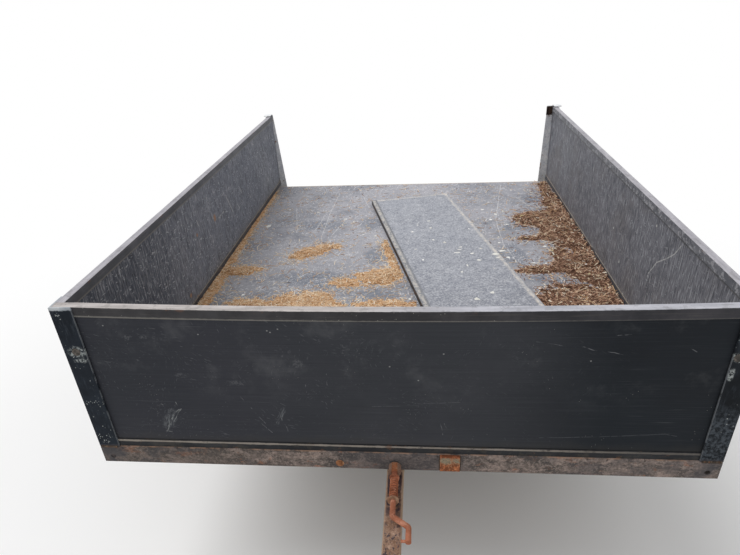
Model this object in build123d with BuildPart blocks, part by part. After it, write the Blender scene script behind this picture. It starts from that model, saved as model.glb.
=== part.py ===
from build123d import *
from collections import namedtuple
import math
import os

# Tilt-bed hay wagon, one axle, millimetres.
# X is across the wagon (+X is its right side seen from the tongue), +Y points to the rear, +Z is up.
# Z = 0 is the ground. Lengths along the wagon are measured back from the front face of the box.

# Box
box_width = 1880.0
box_length = 2457.0
wall_height = 477.0
deck_height = 700.0
floor_thickness = 38.0
board = 19.0
channel_gauge = 3.0
cap_depth = 32.0
foot_depth = 29.0
post_width = 64.0
post_gauge = 5.0
post_rise = 3.0
post_plate_out = 15.0
post_plate_depth = 45.0
post_plate_gauge = 5.0
strip_top_left = 6.0
strip_foot_left = 44.0
strip_top_right = 35.0
strip_foot_right = 50.0
strip_drop = 22.0
front_bow = 22.0
floor_setback = 50.0
keeper_width = 36.0
keeper_height = 52.0
keeper_lip = 14.0
keeper_gauge = 4.0

# Steel frame under the box
rail_height = 70.0
rail_depth = 40.0
rail_gauge = 4.0
rail_hole = 17.0
rail_hole_inset = 33.0
rail_hole_drop = 43.0
member_size = 51.0
tube_gauge = 5.0
tube_corner = 6.0
front_member_at = 450.0
middle_member_at = 880.0
patch_plate_width = 59.0
patch_plate_height = 62.0
patch_plate_gauge = 6.0
patch_plate_at = 166.0

# Loose tailgate, lying on the floor
gate_length = 1800.0
gate_width = 485.0
gate_turn = 14.0
gate_corner_x = -231.0
gate_corner_at = 2023.5
gate_lift = 0.3

# Tongue and undercarriage
tongue_size = 51.0
tongue_reach = 1000.0
bed_gap = 0.4
frame_half_width = 560.0
frame_front_at = 940.0
brace_front_at = 300.0
brace_rear_at = 1000.0
axle_at = 1290.0
axle_size = 45.0
pivot_at = 1720.0
pivot_pin = 16.0
pin_clearance = 0.05
lug_gauge = 10.0
lug_radius = 22.0
cheek_gauge = 8.0
side_clearance = 0.5
pin_head = 13.0
pin_head_length = 5.0
cross_tube_behind = 12.0

# Springs and hangers
spring_span = 620.0
spring_camber = 70.0
spring_width = 45.0
leaf_gauge = 7.0
second_leaf = 460.0
third_leaf = 280.0
eye_radius = 15.0
spring_pin = 14.0
eye_clearance = 0.3
hanger_gauge = 6.0
hanger_width = 56.0
hanger_end_radius = 20.0
clamp_wire = 10.0
clamp_bend = 7.5
clamp_gap = 2.0
clamp_plate_gauge = 8.0
clamp_plate_edge = 10.0
clamp_tail = 15.0

# Wheels
tyre_diameter = 600.0
tyre_width = 165.0
tyre_wall = 11.0
shoulder_inset = 16.0
shoulder_drop = 12.0
crown_inset = 24.0
crown_drop = 5.0
bead_lift = 2.0
track = 1500.0
rim_width = 140.0
bead_radius = 166.0
rim_gauge = 4.0
rim_flange = 12.0
rim_drop = 16.0
back_seat = 22.0
front_seat = 28.0
well_slope = 12.0
slope_shift = 2.0
disc_radius = 80.0
disc_slope = 30.0
disc_dish = 11.0
disc_gauge = 5.0
hand_holes = 8
hand_hole = 22.0
hand_hole_circle = 125.0
hub_radius = 38.0
hub_flange = 70.0
hub_flange_gauge = 10.0
hub_back = 60.0
cap_radius = 30.0
cap_length = 35.0
cap_chamfer = 4.0
cap_wall = 5.0
centre_clearance = 0.5
spindle = 35.0
spindle_length = 90.0
spindle_collar = 24.0

# Hitch
clevis_gauge = 12.0
clevis_width = 64.0
clevis_length = 110.0
clevis_bend = 14.0
clevis_tip_radius = 19.0
hitch_pin_hole = 22.0
hitch_pin_setback = 32.0

# Parking stand
stand_at = -820.0
stand_drop = 32.0
stand_tube = 38.0
stand_gauge = 4.0
stand_cheek = 6.0
stand_cheek_width = 60.0
stand_pin = 14.0
foot_width = 110.0
foot_length = 50.0
foot_gauge = 6.0

# Spring latch on the tongue
bolt_diameter = 16.0
bolt_rise = 23.0
bolt_past_face = 25.0
bolt_hole_clearance = 0.5
guide_clearance = 0.3
collar_diameter = 38.0
collar_length = 24.0
collar_gap = 6.0
collar_base = 24.0
ring_diameter = 33.0
ring_length = 6.0
ring_base = 14.0
ring_at = -134.0
washer_diameter = 30.0
washer_length = 4.0
washer_at = -48.0
wire_diameter = 3.0
coil_radius = 11.0
coil_pitch = 8.6
handle_bend_at = -185.0
handle_offset = 46.0
handle_jog = 32.0
handle_end_at = -264.0
handle_cross = 28.0
handle_pin = 8.0
handle_bend_radius = 10.0

# Derived places
reach = tongue_reach + clevis_length
front_y = (reach - box_length) / 2
rear_y = front_y + box_length
rail_top = deck_height - floor_thickness
rail_bottom = rail_top - rail_height
tongue_top = rail_bottom - bed_gap
tongue_z = tongue_top - tongue_size / 2
tongue_bottom = tongue_top - tongue_size
wall_top = deck_height + wall_height
post_top = wall_top + post_rise
plate_top = post_top + post_plate_gauge
strip_foot = deck_height - strip_drop
post_outer = box_width / 2
wall_outer = post_outer - post_gauge
wall_channel = board + 2 * channel_gauge
wall_inner = wall_outer - wall_channel
front_channel_y = front_y + post_gauge
floor_front = front_channel_y + wall_channel
wall_rear = rear_y - post_gauge
floor_rear = wall_rear - floor_setback
bow_half = post_outer - post_width
axle_y = front_y + axle_at
axle_z = tyre_diameter / 2
pivot_y = front_y + pivot_at
cross_rear = pivot_y - lug_radius - cross_tube_behind
cross_front = cross_rear - tongue_size
member_bottom = rail_top - member_size
inner_rail = wall_outer - rail_depth
tongue_tip = front_y - tongue_reach
stand_y = front_y + stand_at
stand_pin_z = tongue_bottom - stand_drop
bolt_z = tongue_top + bolt_rise

Side = namedtuple("Side", "name sign strip_top strip_foot")
SIDES = (
    Side("left", -1, strip_top_left, strip_foot_left),
    Side("right", 1, strip_top_right, strip_foot_right),
)
Station = namedtuple("Station", "name y")
HANGERS = (
    Station("front", axle_y - spring_span / 2),
    Station("rear", axle_y + spring_span / 2),
)

os.makedirs("parts", exist_ok=True)


def keep(builder, label):
    builder.part.label = label
    export_step(builder.part, f"parts/{label}.step")


def slab(x_a, x_b, y_a, y_b, z_a, z_b, mode=Mode.ADD):
    with Locations(((x_a + x_b) / 2, (y_a + y_b) / 2, (z_a + z_b) / 2)):
        Box(abs(x_b - x_a), abs(y_b - y_a), abs(z_b - z_a), mode=mode)


def across(x):
    return Plane(origin=(x, 0, 0), x_dir=(0, 1, 0), z_dir=(1, 0, 0))


def along(y):
    return Plane(origin=(0, y, 0), x_dir=(1, 0, 0), z_dir=(0, -1, 0))


def tube_section(u, v, width, height, gauge):
    with Locations((u, v)):
        RectangleRounded(width, height, tube_corner)
        RectangleRounded(width - 2 * gauge, height - 2 * gauge, tube_corner - gauge / 2, mode=Mode.SUBTRACT)


def channel_section(u_a, u_b, v_web, v_tip, gauge):
    v_inner = v_web + math.copysign(gauge, v_tip - v_web)
    with Locations(((u_a + u_b) / 2, (v_web + v_tip) / 2)):
        Rectangle(abs(u_b - u_a), abs(v_tip - v_web))
    with Locations(((u_a + u_b) / 2, (v_inner + v_tip) / 2)):
        Rectangle(abs(u_b - u_a) - 2 * gauge, abs(v_tip - v_inner), mode=Mode.SUBTRACT)


# Floor
with BuildPart() as floor:
    slab(-wall_outer, wall_outer, floor_front, floor_rear, rail_top, deck_height)
keep(floor, "floor")

# Front wall: board, cap channel and foot channel, pushed forward between the posts, most at the top
def bowed_slab(y_front, y_rear, z_low, z_high):
    with BuildPart() as bowed:
        for z in (z_low, z_high):
            bow = front_bow * (z - rail_top) / (wall_top - rail_top)
            with BuildSketch(Plane.XY.offset(z)):
                with BuildLine():
                    Line((-wall_outer, y_front), (-bow_half, y_front))
                    Bezier((-bow_half, y_front), (0, y_front - 2 * bow), (bow_half, y_front))
                    Polyline((bow_half, y_front), (wall_outer, y_front), (wall_outer, y_rear), (bow_half, y_rear))
                    Bezier((bow_half, y_rear), (0, y_rear - 2 * bow), (-bow_half, y_rear))
                    Polyline((-bow_half, y_rear), (-wall_outer, y_rear), (-wall_outer, y_front))
                make_face()
        loft(ruled=True)
    return bowed.part


board_front = front_channel_y + channel_gauge
board_rear = floor_front - channel_gauge
with BuildPart() as front_panel:
    add(bowed_slab(board_front, board_rear, rail_top + channel_gauge, wall_top - channel_gauge))
keep(front_panel, "front_panel")

with BuildPart() as front_cap:
    add(bowed_slab(front_channel_y, floor_front, wall_top - cap_depth, wall_top))
    board_seat = bowed_slab(board_front, board_rear, wall_top - cap_depth, wall_top - channel_gauge)
    add(board_seat, mode=Mode.SUBTRACT)
keep(front_cap, "front_cap")

with BuildPart() as front_foot:
    add(bowed_slab(front_channel_y, floor_front, rail_top, rail_top + foot_depth))
    board_seat = bowed_slab(board_front, board_rear, rail_top + channel_gauge, rail_top + foot_depth)
    add(board_seat, mode=Mode.SUBTRACT)
keep(front_foot, "front_foot_channel")

# Side walls
for side in SIDES:
    outer = side.sign * wall_outer
    inner = side.sign * wall_inner
    skin = side.sign * channel_gauge
    with BuildPart() as side_panel:
        slab(inner + skin, outer - skin, floor_front, wall_rear,
             deck_height + channel_gauge, wall_top - channel_gauge)
    keep(side_panel, f"side_panel_{side.name}")
    with BuildPart() as side_cap:
        with BuildSketch(along(wall_rear)):
            channel_section(inner, outer, wall_top, wall_top - cap_depth, channel_gauge)
        extrude(amount=wall_rear - floor_front)
    keep(side_cap, f"side_cap_{side.name}")
    with BuildPart() as side_foot:
        with BuildSketch(along(wall_rear)):
            channel_section(inner, outer, deck_height, deck_height + foot_depth, channel_gauge)
        extrude(amount=wall_rear - floor_front)
    keep(side_foot, f"side_foot_channel_{side.name}")

# Corner posts: angles, the rear ones with an inward strip that the tailgate closes on.
# Their outer legs run down over the rails' ends.
for side in SIDES:
    post_out = side.sign * post_outer
    leg_in = side.sign * wall_outer
    with BuildPart() as front_post:
        slab(post_out, side.sign * bow_half, front_y, front_channel_y, rail_top, wall_top)
        slab(post_out, leg_in, front_y, front_y + post_width, rail_top, wall_top)
    keep(front_post, f"front_post_{side.name}")

    board_face = wall_inner + channel_gauge
    with BuildPart() as rear_post:
        with BuildSketch(along(rear_y)):
            with BuildLine():
                Polyline(
                    (post_out, strip_foot),
                    (post_out, post_top),
                    (side.sign * (board_face - side.strip_top), post_top),
                    (side.sign * (board_face - side.strip_foot), strip_foot),
                    close=True,
                )
            make_face()
        extrude(amount=post_gauge)
        slab(post_out, leg_in, rear_y - post_width, rear_y, rail_bottom, post_top)
        slab(side.sign * wall_inner, side.sign * (post_outer + post_plate_out),
             rear_y - post_plate_depth, rear_y, post_top, plate_top)
    keep(rear_post, f"rear_post_{side.name}")

# Keeper for the tailgate, at the top of the right strip
keeper_edge = wall_inner - side_clearance
with BuildPart() as gate_keeper:
    slab(keeper_edge - keeper_width, keeper_edge, wall_rear - keeper_gauge, wall_rear,
         wall_top - keeper_height, wall_top)
    slab(keeper_edge - keeper_width, keeper_edge - keeper_width + keeper_gauge,
         wall_rear - keeper_lip, wall_rear, wall_top - keeper_height, wall_top)
keep(gate_keeper, "gate_keeper")

# Rails round the floor's edge
rail_mid = (rail_top + rail_bottom) / 2
with BuildPart() as front_rail:
    with BuildSketch(across(-post_outer)):
        tube_section(front_y + rail_depth / 2, rail_mid, rail_depth, rail_height, rail_gauge)
    extrude(amount=2 * post_outer)
    with BuildSketch(along(front_y)):
        with Locations((post_outer - rail_hole_inset, rail_top - rail_hole_drop),
                       (rail_hole_inset - post_outer, rail_top - rail_hole_drop)):
            Circle(rail_hole / 2)
        with Locations((0, bolt_z)):
            Circle(bolt_diameter / 2 + bolt_hole_clearance)
    extrude(amount=-2 * rail_gauge, mode=Mode.SUBTRACT)
keep(front_rail, "front_rail")

with BuildPart() as rear_rail:
    with BuildSketch(across(-inner_rail)):
        tube_section(floor_rear - rail_depth / 2, rail_mid, rail_depth, rail_height, rail_gauge)
    extrude(amount=2 * inner_rail)
keep(rear_rail, "rear_rail")

for side in SIDES:
    with BuildPart() as side_rail:
        with BuildSketch(along(wall_rear)):
            tube_section(side.sign * (wall_outer - rail_depth / 2), rail_mid, rail_depth, rail_height, rail_gauge)
        extrude(amount=wall_rear - (front_y + rail_depth))
    keep(side_rail, f"side_rail_{side.name}")

with BuildPart() as patch_plate:
    slab(patch_plate_at - patch_plate_width / 2, patch_plate_at + patch_plate_width / 2,
         front_y - patch_plate_gauge, front_y, rail_top - patch_plate_height, rail_top)
keep(patch_plate, "patch_plate")

# Members across under the floor; the last one carries the tilt lugs at the pivots
MEMBERS = (Station("front", front_y + front_member_at), Station("middle", front_y + middle_member_at))
member_mid = rail_top - member_size / 2
for member in MEMBERS:
    with BuildPart() as cross_member:
        with BuildSketch(across(-inner_rail)):
            tube_section(member.y, member_mid, member_size, member_size, tube_gauge)
        extrude(amount=2 * inner_rail)
    keep(cross_member, f"cross_member_{member.name}")

pivot_z = tongue_z
with BuildPart() as tilt_member:
    with BuildSketch(across(-inner_rail)):
        tube_section(pivot_y, member_mid, member_size, member_size, tube_gauge)
    extrude(amount=2 * inner_rail)
keep(tilt_member, "tilt_member")

for side in SIDES:
    with BuildPart() as tilt_lug:
        with BuildSketch(across(side.sign * frame_half_width)):
            with Locations((pivot_y, pivot_z)):
                Circle(lug_radius)
            with Locations((pivot_y, (pivot_z + member_bottom) / 2)):
                Rectangle(2 * lug_radius, member_bottom - pivot_z)
            with Locations((pivot_y, pivot_z)):
                Circle(pivot_pin / 2 + pin_clearance, mode=Mode.SUBTRACT)
        extrude(amount=lug_gauge / 2, both=True)
    keep(tilt_lug, f"tilt_lug_{side.name}")

# Tailgate
gate_z = deck_height + gate_lift
gate_plane = Plane(
    origin=(gate_corner_x, front_y + gate_corner_at, gate_z),
    x_dir=(math.cos(math.radians(gate_turn)), math.sin(math.radians(gate_turn)), 0),
    z_dir=(0, 0, 1),
)
with BuildPart() as gate_panel:
    with BuildSketch(gate_plane.offset(channel_gauge)):
        with Locations((channel_gauge, 0)):
            Rectangle(gate_width - channel_gauge, gate_length, align=(Align.MIN, Align.MAX))
    extrude(amount=board)
keep(gate_panel, "tailgate_panel")

with BuildPart() as gate_channel:
    with BuildSketch(gate_plane):
        Rectangle(cap_depth, gate_length, align=(Align.MIN, Align.MAX))
    extrude(amount=wall_channel)
    with BuildSketch(gate_plane.offset(channel_gauge)):
        with Locations((channel_gauge, 0)):
            Rectangle(cap_depth, gate_length, align=(Align.MIN, Align.MAX))
    extrude(amount=board, mode=Mode.SUBTRACT)
keep(gate_channel, "tailgate_channel")

# Tongue
with BuildPart() as tongue:
    with BuildSketch(along(cross_front)):
        tube_section(0, tongue_z, tongue_size, tongue_size, tube_gauge)
    extrude(amount=cross_front - tongue_tip)
keep(tongue, "tongue")

# Braces, from the tongue's sides back to the frame rails
tongue_side = tongue_size / 2
frame_inner = frame_half_width - tongue_size / 2
brace_angle = math.atan2(frame_inner - tongue_side, brace_rear_at - brace_front_at)
brace_half = tongue_size / 2 / math.sin(brace_angle)
brace_bore = (tongue_size / 2 - tube_gauge) / math.sin(brace_angle)
for side in SIDES:
    with BuildPart() as brace:
        for half, depth, mode in ((brace_half, tongue_size, Mode.ADD),
                                  (brace_bore, tongue_size - 2 * tube_gauge, Mode.SUBTRACT)):
            with BuildSketch(Plane.XY.offset(tongue_z)):
                with BuildLine():
                    Polyline(
                        (side.sign * tongue_side, front_y + brace_front_at - half),
                        (side.sign * tongue_side, front_y + brace_front_at + half),
                        (side.sign * frame_inner, front_y + brace_rear_at + half),
                        (side.sign * frame_inner, front_y + brace_rear_at - half),
                        close=True,
                    )
                make_face()
            extrude(amount=depth / 2, both=True, mode=mode)
    keep(brace, f"brace_{side.name}")

# Frame rails over the springs
for side in SIDES:
    with BuildPart() as frame_rail:
        with BuildSketch(along(cross_front)):
            tube_section(side.sign * frame_half_width, tongue_z, tongue_size, tongue_size, tube_gauge)
        extrude(amount=cross_front - (front_y + frame_front_at))
    keep(frame_rail, f"frame_rail_{side.name}")

# Cross tube with the cheeks of the tilt pivots
cheek_in = lug_gauge / 2 + side_clearance
cheek_out = cheek_in + cheek_gauge
cross_half = frame_half_width + tongue_size / 2
with BuildPart() as pivot_tube:
    with BuildSketch(across(-cross_half)):
        tube_section((cross_front + cross_rear) / 2, tongue_z, tongue_size, tongue_size, tube_gauge)
    extrude(amount=2 * cross_half)
keep(pivot_tube, "pivot_cross_tube")

for side in SIDES:
    with BuildPart() as pivot_cheeks:
        for start in (cheek_in, -cheek_out):
            with BuildSketch(across(side.sign * frame_half_width + start)):
                with Locations((pivot_y, pivot_z)):
                    Circle(lug_radius)
                with Locations(((pivot_y + cross_rear) / 2, pivot_z)):
                    Rectangle(pivot_y - cross_rear, 2 * lug_radius)
                with Locations((pivot_y, pivot_z)):
                    Circle(pivot_pin / 2, mode=Mode.SUBTRACT)
            extrude(amount=cheek_gauge)
    keep(pivot_cheeks, f"pivot_cheeks_{side.name}")

    with BuildPart() as pin:
        with BuildSketch(across(side.sign * frame_half_width - cheek_out - pin_head_length)):
            with Locations((pivot_y, pivot_z)):
                Circle(pin_head)
        extrude(amount=pin_head_length)
        with BuildSketch(across(side.sign * frame_half_width - cheek_out)):
            with Locations((pivot_y, pivot_z)):
                Circle(pivot_pin / 2)
        extrude(amount=2 * cheek_out + pin_head_length)
    keep(pin, f"pivot_pin_{side.name}")

# Leaf springs: concentric leaves, the shortest one on the axle
spring_bottom = axle_z + axle_size / 2
leaf_spans = (spring_span, second_leaf, third_leaf)
leaf_top = spring_bottom + len(leaf_spans) * leaf_gauge
leaf_radius = ((spring_span / 2) ** 2 + spring_camber ** 2) / (2 * spring_camber)
eye_z = leaf_top + spring_camber
for side in SIDES:
    with BuildPart() as leaf_spring:
        for index, span in enumerate(leaf_spans):
            with BuildSketch(across(side.sign * frame_half_width)):
                with Locations((axle_y, leaf_top + leaf_radius)):
                    Circle(leaf_radius + (index + 1) * leaf_gauge)
                    Circle(leaf_radius + index * leaf_gauge, mode=Mode.SUBTRACT)
                with Locations((axle_y, leaf_top)):
                    Rectangle(span, 4 * spring_camber, mode=Mode.INTERSECT)
            extrude(amount=spring_width / 2, both=True)
        with BuildSketch(across(side.sign * frame_half_width)):
            with Locations(*[(hanger.y, eye_z) for hanger in HANGERS]):
                Circle(eye_radius)
        extrude(amount=spring_width / 2, both=True)
        with BuildSketch(across(side.sign * frame_half_width)):
            with Locations(*[(hanger.y, eye_z) for hanger in HANGERS]):
                Circle(spring_pin / 2 + eye_clearance)
        extrude(amount=spring_width / 2, both=True, mode=Mode.SUBTRACT)
    keep(leaf_spring, f"leaf_spring_{side.name}")

# Spring hangers: two cheeks, a top plate and the spring's bolt
hanger_in = spring_width / 2 + eye_clearance
hanger_out = hanger_in + hanger_gauge
for side in SIDES:
    for hanger in HANGERS:
        with BuildPart() as spring_hanger:
            middle = side.sign * frame_half_width
            for start in (hanger_in, -hanger_out):
                with BuildSketch(across(middle + start)):
                    with BuildLine():
                        Polyline(
                            (hanger.y - hanger_end_radius, eye_z),
                            (hanger.y - hanger_width / 2, tongue_bottom),
                            (hanger.y + hanger_width / 2, tongue_bottom),
                            (hanger.y + hanger_end_radius, eye_z),
                            close=True,
                        )
                    make_face()
                    with Locations((hanger.y, eye_z)):
                        Circle(hanger_end_radius)
                extrude(amount=hanger_gauge)
            slab(middle - hanger_out, middle + hanger_out, hanger.y - hanger_width / 2,
                 hanger.y + hanger_width / 2, tongue_bottom - hanger_gauge, tongue_bottom)
            with BuildSketch(across(middle)):
                with Locations((hanger.y, eye_z)):
                    Circle(spring_pin / 2)
            extrude(amount=hanger_out, both=True)
        keep(spring_hanger, f"spring_hanger_{hanger.name}_{side.name}")

# Spring clamps: two bent bolts over the leaves and a plate under the axle
clamp_x = spring_width / 2 + clamp_gap + clamp_wire / 2
clamp_y = axle_size / 2 + eye_clearance + clamp_wire / 2
clamp_edge = clamp_y + clamp_wire / 2
leaf_rise = leaf_radius - math.sqrt(leaf_radius ** 2 - clamp_edge ** 2)
clamp_z = leaf_top + leaf_rise + eye_clearance + clamp_wire / 2
clamp_plate_top = axle_z - axle_size / 2
clamp_low = clamp_plate_top - clamp_plate_gauge - clamp_tail
for side in SIDES:
    middle = side.sign * frame_half_width
    with BuildPart() as spring_clamp:
        slab(middle - clamp_x - clamp_plate_edge, middle + clamp_x + clamp_plate_edge,
             axle_y - clamp_y - clamp_plate_edge, axle_y + clamp_y + clamp_plate_edge,
             clamp_plate_top - clamp_plate_gauge, clamp_plate_top)
        for y in (axle_y - clamp_y, axle_y + clamp_y):
            with BuildLine() as clamp_path:
                FilletPolyline(
                    (middle - clamp_x, y, clamp_low),
                    (middle - clamp_x, y, clamp_z),
                    (middle + clamp_x, y, clamp_z),
                    (middle + clamp_x, y, clamp_low),
                    radius=clamp_bend,
                )
            with BuildSketch(Plane.XY.offset(clamp_low)):
                with Locations((middle - clamp_x, y)):
                    Circle(clamp_wire / 2)
            sweep(path=clamp_path.wires()[0])
    keep(spring_clamp, f"spring_clamp_{side.name}")

# Axle with its spindles
wheel_axis = Axis((0, axle_y, axle_z), (1, 0, 0))
wheel_plane = Plane(origin=(0, axle_y, axle_z), x_dir=(1, 0, 0), z_dir=(0, -1, 0))
wheel_x = track / 2
axle_end = wheel_x - hub_back - spindle_collar / 2
spindle_end = axle_end + spindle_length + spindle_collar / 2
with BuildPart() as axle:
    slab(-axle_end, axle_end, axle_y - axle_size / 2, axle_y + axle_size / 2,
         axle_z - axle_size / 2, axle_z + axle_size / 2)
    for side in SIDES:
        with BuildSketch(wheel_plane):
            with BuildLine():
                Polyline(
                    (side.sign * axle_end, 0),
                    (side.sign * axle_end, spindle_collar),
                    (side.sign * (wheel_x - hub_back - side_clearance), spindle_collar),
                    (side.sign * (wheel_x - hub_back - side_clearance), spindle / 2),
                    (side.sign * spindle_end, spindle / 2),
                    (side.sign * spindle_end, 0),
                    close=True,
                )
            make_face()
        revolve(axis=wheel_axis)
keep(axle, "axle")

# Wheels: x is measured outwards from the middle plane of each wheel
seat = rim_width / 2
tread_radius = tyre_diameter / 2
for side in SIDES:
    def out(x):
        return side.sign * (wheel_x + x)

    flange_radius = bead_radius + rim_flange
    bulge = tyre_width / 2
    shoulder = bulge - shoulder_inset
    shoulder_radius = tread_radius - shoulder_drop
    crown = bulge - crown_inset
    crown_radius = tread_radius - crown_drop
    bead_top = flange_radius + bead_lift
    waist = (flange_radius + shoulder_radius) / 2
    with BuildPart() as tyre:
        with BuildSketch(wheel_plane):
            with BuildLine():
                Polyline((out(-seat), bead_top), (out(-seat), bead_radius),
                         (out(tyre_wall - seat), bead_radius), (out(tyre_wall - seat), bead_top))
                ThreePointArc((out(tyre_wall - seat), bead_top), (out(tyre_wall - bulge), waist),
                              (out(tyre_wall - shoulder), shoulder_radius - tyre_wall))
                Line((out(tyre_wall - shoulder), shoulder_radius - tyre_wall),
                     (out(shoulder - tyre_wall), shoulder_radius - tyre_wall))
                ThreePointArc((out(shoulder - tyre_wall), shoulder_radius - tyre_wall),
                              (out(bulge - tyre_wall), waist), (out(seat - tyre_wall), bead_top))
                Polyline((out(seat - tyre_wall), bead_top), (out(seat - tyre_wall), bead_radius),
                         (out(seat), bead_radius), (out(seat), bead_top))
                ThreePointArc((out(seat), bead_top), (out(bulge), waist),
                              (out(shoulder), shoulder_radius))
                Line((out(shoulder), shoulder_radius), (out(crown), crown_radius))
                ThreePointArc((out(crown), crown_radius), (out(0), tread_radius),
                              (out(-crown), crown_radius))
                Line((out(-crown), crown_radius), (out(-shoulder), shoulder_radius))
                ThreePointArc((out(-shoulder), shoulder_radius), (out(-bulge), waist),
                              (out(-seat), bead_top))
            make_face()
        revolve(axis=wheel_axis)
    keep(tyre, f"tyre_{side.name}")

    drop_radius = bead_radius - rim_drop
    disc_in = hub_flange_gauge / 2
    disc_face = disc_in + disc_gauge
    disc_out = disc_in + disc_dish
    disc_rim = drop_radius - rim_gauge / 2
    bead_inner = bead_radius - rim_gauge
    drop_inner = drop_radius - rim_gauge
    well_back = back_seat + well_slope - seat
    well_front = seat - front_seat - well_slope
    bore = cap_radius + centre_clearance
    with BuildPart() as rim:
        with BuildSketch(wheel_plane):
            with BuildLine():
                Polyline(
                    (out(-seat - rim_gauge), flange_radius),
                    (out(-seat), flange_radius),
                    (out(-seat), bead_radius),
                    (out(back_seat - seat), bead_radius),
                    (out(well_back), drop_radius),
                    (out(well_front), drop_radius),
                    (out(seat - front_seat), bead_radius),
                    (out(seat), bead_radius),
                    (out(seat), flange_radius),
                    (out(seat + rim_gauge), flange_radius),
                    (out(seat + rim_gauge), bead_inner),
                    (out(seat - front_seat + slope_shift), bead_inner),
                    (out(well_front + slope_shift), drop_inner),
                    (out(well_back - slope_shift), drop_inner),
                    (out(back_seat - seat - slope_shift), bead_inner),
                    (out(-seat - rim_gauge), bead_inner),
                    close=True,
                )
            make_face()
            with BuildLine():
                Polyline(
                    (out(disc_in), bore),
                    (out(disc_face), bore),
                    (out(disc_face), disc_radius),
                    (out(disc_out + disc_gauge), disc_radius + disc_slope),
                    (out(disc_out + disc_gauge), disc_rim),
                    (out(disc_out), disc_rim),
                    (out(disc_out), disc_radius + disc_slope + slope_shift),
                    (out(disc_in), disc_radius + slope_shift),
                    close=True,
                )
            make_face()
        revolve(axis=wheel_axis)
        with BuildSketch(Plane(origin=(out(0), axle_y, axle_z), x_dir=(0, 1, 0), z_dir=(side.sign, 0, 0))):
            with PolarLocations(hand_hole_circle, hand_holes):
                Circle(hand_hole / 2)
        extrude(amount=seat, mode=Mode.SUBTRACT)
    keep(rim, f"wheel_rim_{side.name}")

    cap_end = disc_in + cap_length
    with BuildPart() as hub:
        with BuildSketch(wheel_plane):
            with BuildLine():
                Polyline(
                    (out(-hub_back), spindle / 2 + pin_clearance),
                    (out(-hub_back), hub_radius),
                    (out(-disc_in), hub_radius),
                    (out(-disc_in), hub_flange),
                    (out(disc_in), hub_flange),
                    (out(disc_in), cap_radius),
                    (out(cap_end - cap_chamfer), cap_radius),
                    (out(cap_end), cap_radius - cap_chamfer),
                    (out(cap_end), 0),
                    (out(cap_end - cap_wall), 0),
                    (out(cap_end - cap_wall), spindle / 2 + pin_clearance),
                    close=True,
                )
            make_face()
        revolve(axis=wheel_axis)
    keep(hub, f"hub_{side.name}")

# Hitch clevis: a flat bar bent to a U, its web against the end of the tongue
clevis_half = tongue_size / 2 + clevis_gauge
clevis_tip = tongue_tip - clevis_length
pin_y = clevis_tip + hitch_pin_setback
with BuildPart() as clevis:
    with BuildSketch(across(-clevis_width / 2)):
        with Locations(((clevis_tip + tongue_tip) / 2, tongue_z)):
            Rectangle(clevis_length, 2 * clevis_half)
        with Locations(((clevis_tip + tongue_tip - clevis_gauge) / 2, tongue_z)):
            Rectangle(clevis_length - clevis_gauge, tongue_size, mode=Mode.SUBTRACT)
        web_corners = vertices().sort_by(Axis.X)[-2:]
        fillet(web_corners, clevis_bend)
    extrude(amount=clevis_width)
    tip_edges = edges().filter_by(Axis.Z).group_by(Axis.Y)[0]
    fillet(tip_edges, clevis_tip_radius)
    with BuildSketch(Plane.XY.offset(tongue_z - clevis_half)):
        with Locations((0, pin_y)):
            Circle(hitch_pin_hole / 2)
    extrude(amount=2 * clevis_half, mode=Mode.SUBTRACT)
keep(clevis, "hitch_clevis")

# Parking stand: bracket with its pin, and the leg with its foot
leg_half = stand_tube / 2
with BuildPart() as stand_bracket:
    for start in (leg_half + side_clearance, -leg_half - side_clearance - stand_cheek):
        with BuildSketch(across(start)):
            with BuildLine():
                Polyline(
                    (stand_y - leg_half, stand_pin_z),
                    (stand_y - stand_cheek_width / 2, tongue_bottom),
                    (stand_y + stand_cheek_width / 2, tongue_bottom),
                    (stand_y + leg_half, stand_pin_z),
                    close=True,
                )
            make_face()
            with Locations((stand_y, stand_pin_z)):
                Circle(leg_half)
        extrude(amount=stand_cheek)
    bracket_half = leg_half + side_clearance + stand_cheek
    with BuildSketch(across(-bracket_half)):
        with Locations((stand_y, stand_pin_z)):
            Circle(stand_pin / 2)
    extrude(amount=2 * bracket_half)
keep(stand_bracket, "stand_bracket")

with BuildPart() as stand_leg:
    with BuildSketch(across(-leg_half)):
        with Locations((stand_y, stand_pin_z)):
            Circle(leg_half)
        with Locations((stand_y, stand_pin_z / 2)):
            Rectangle(stand_tube, stand_pin_z)
    extrude(amount=stand_tube)
    bore_half = leg_half - stand_gauge
    slab(-bore_half, bore_half, stand_y - bore_half, stand_y + bore_half,
         foot_gauge, stand_pin_z - leg_half, mode=Mode.SUBTRACT)
    slab(-foot_width / 2, foot_width / 2, stand_y - foot_length / 2, stand_y + foot_length / 2, 0, foot_gauge)
    with BuildSketch(across(-leg_half)):
        with Locations((stand_y, stand_pin_z)):
            Circle(stand_pin / 2 + pin_clearance)
    extrude(amount=stand_tube, mode=Mode.SUBTRACT)
keep(stand_leg, "stand_leg")

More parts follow.
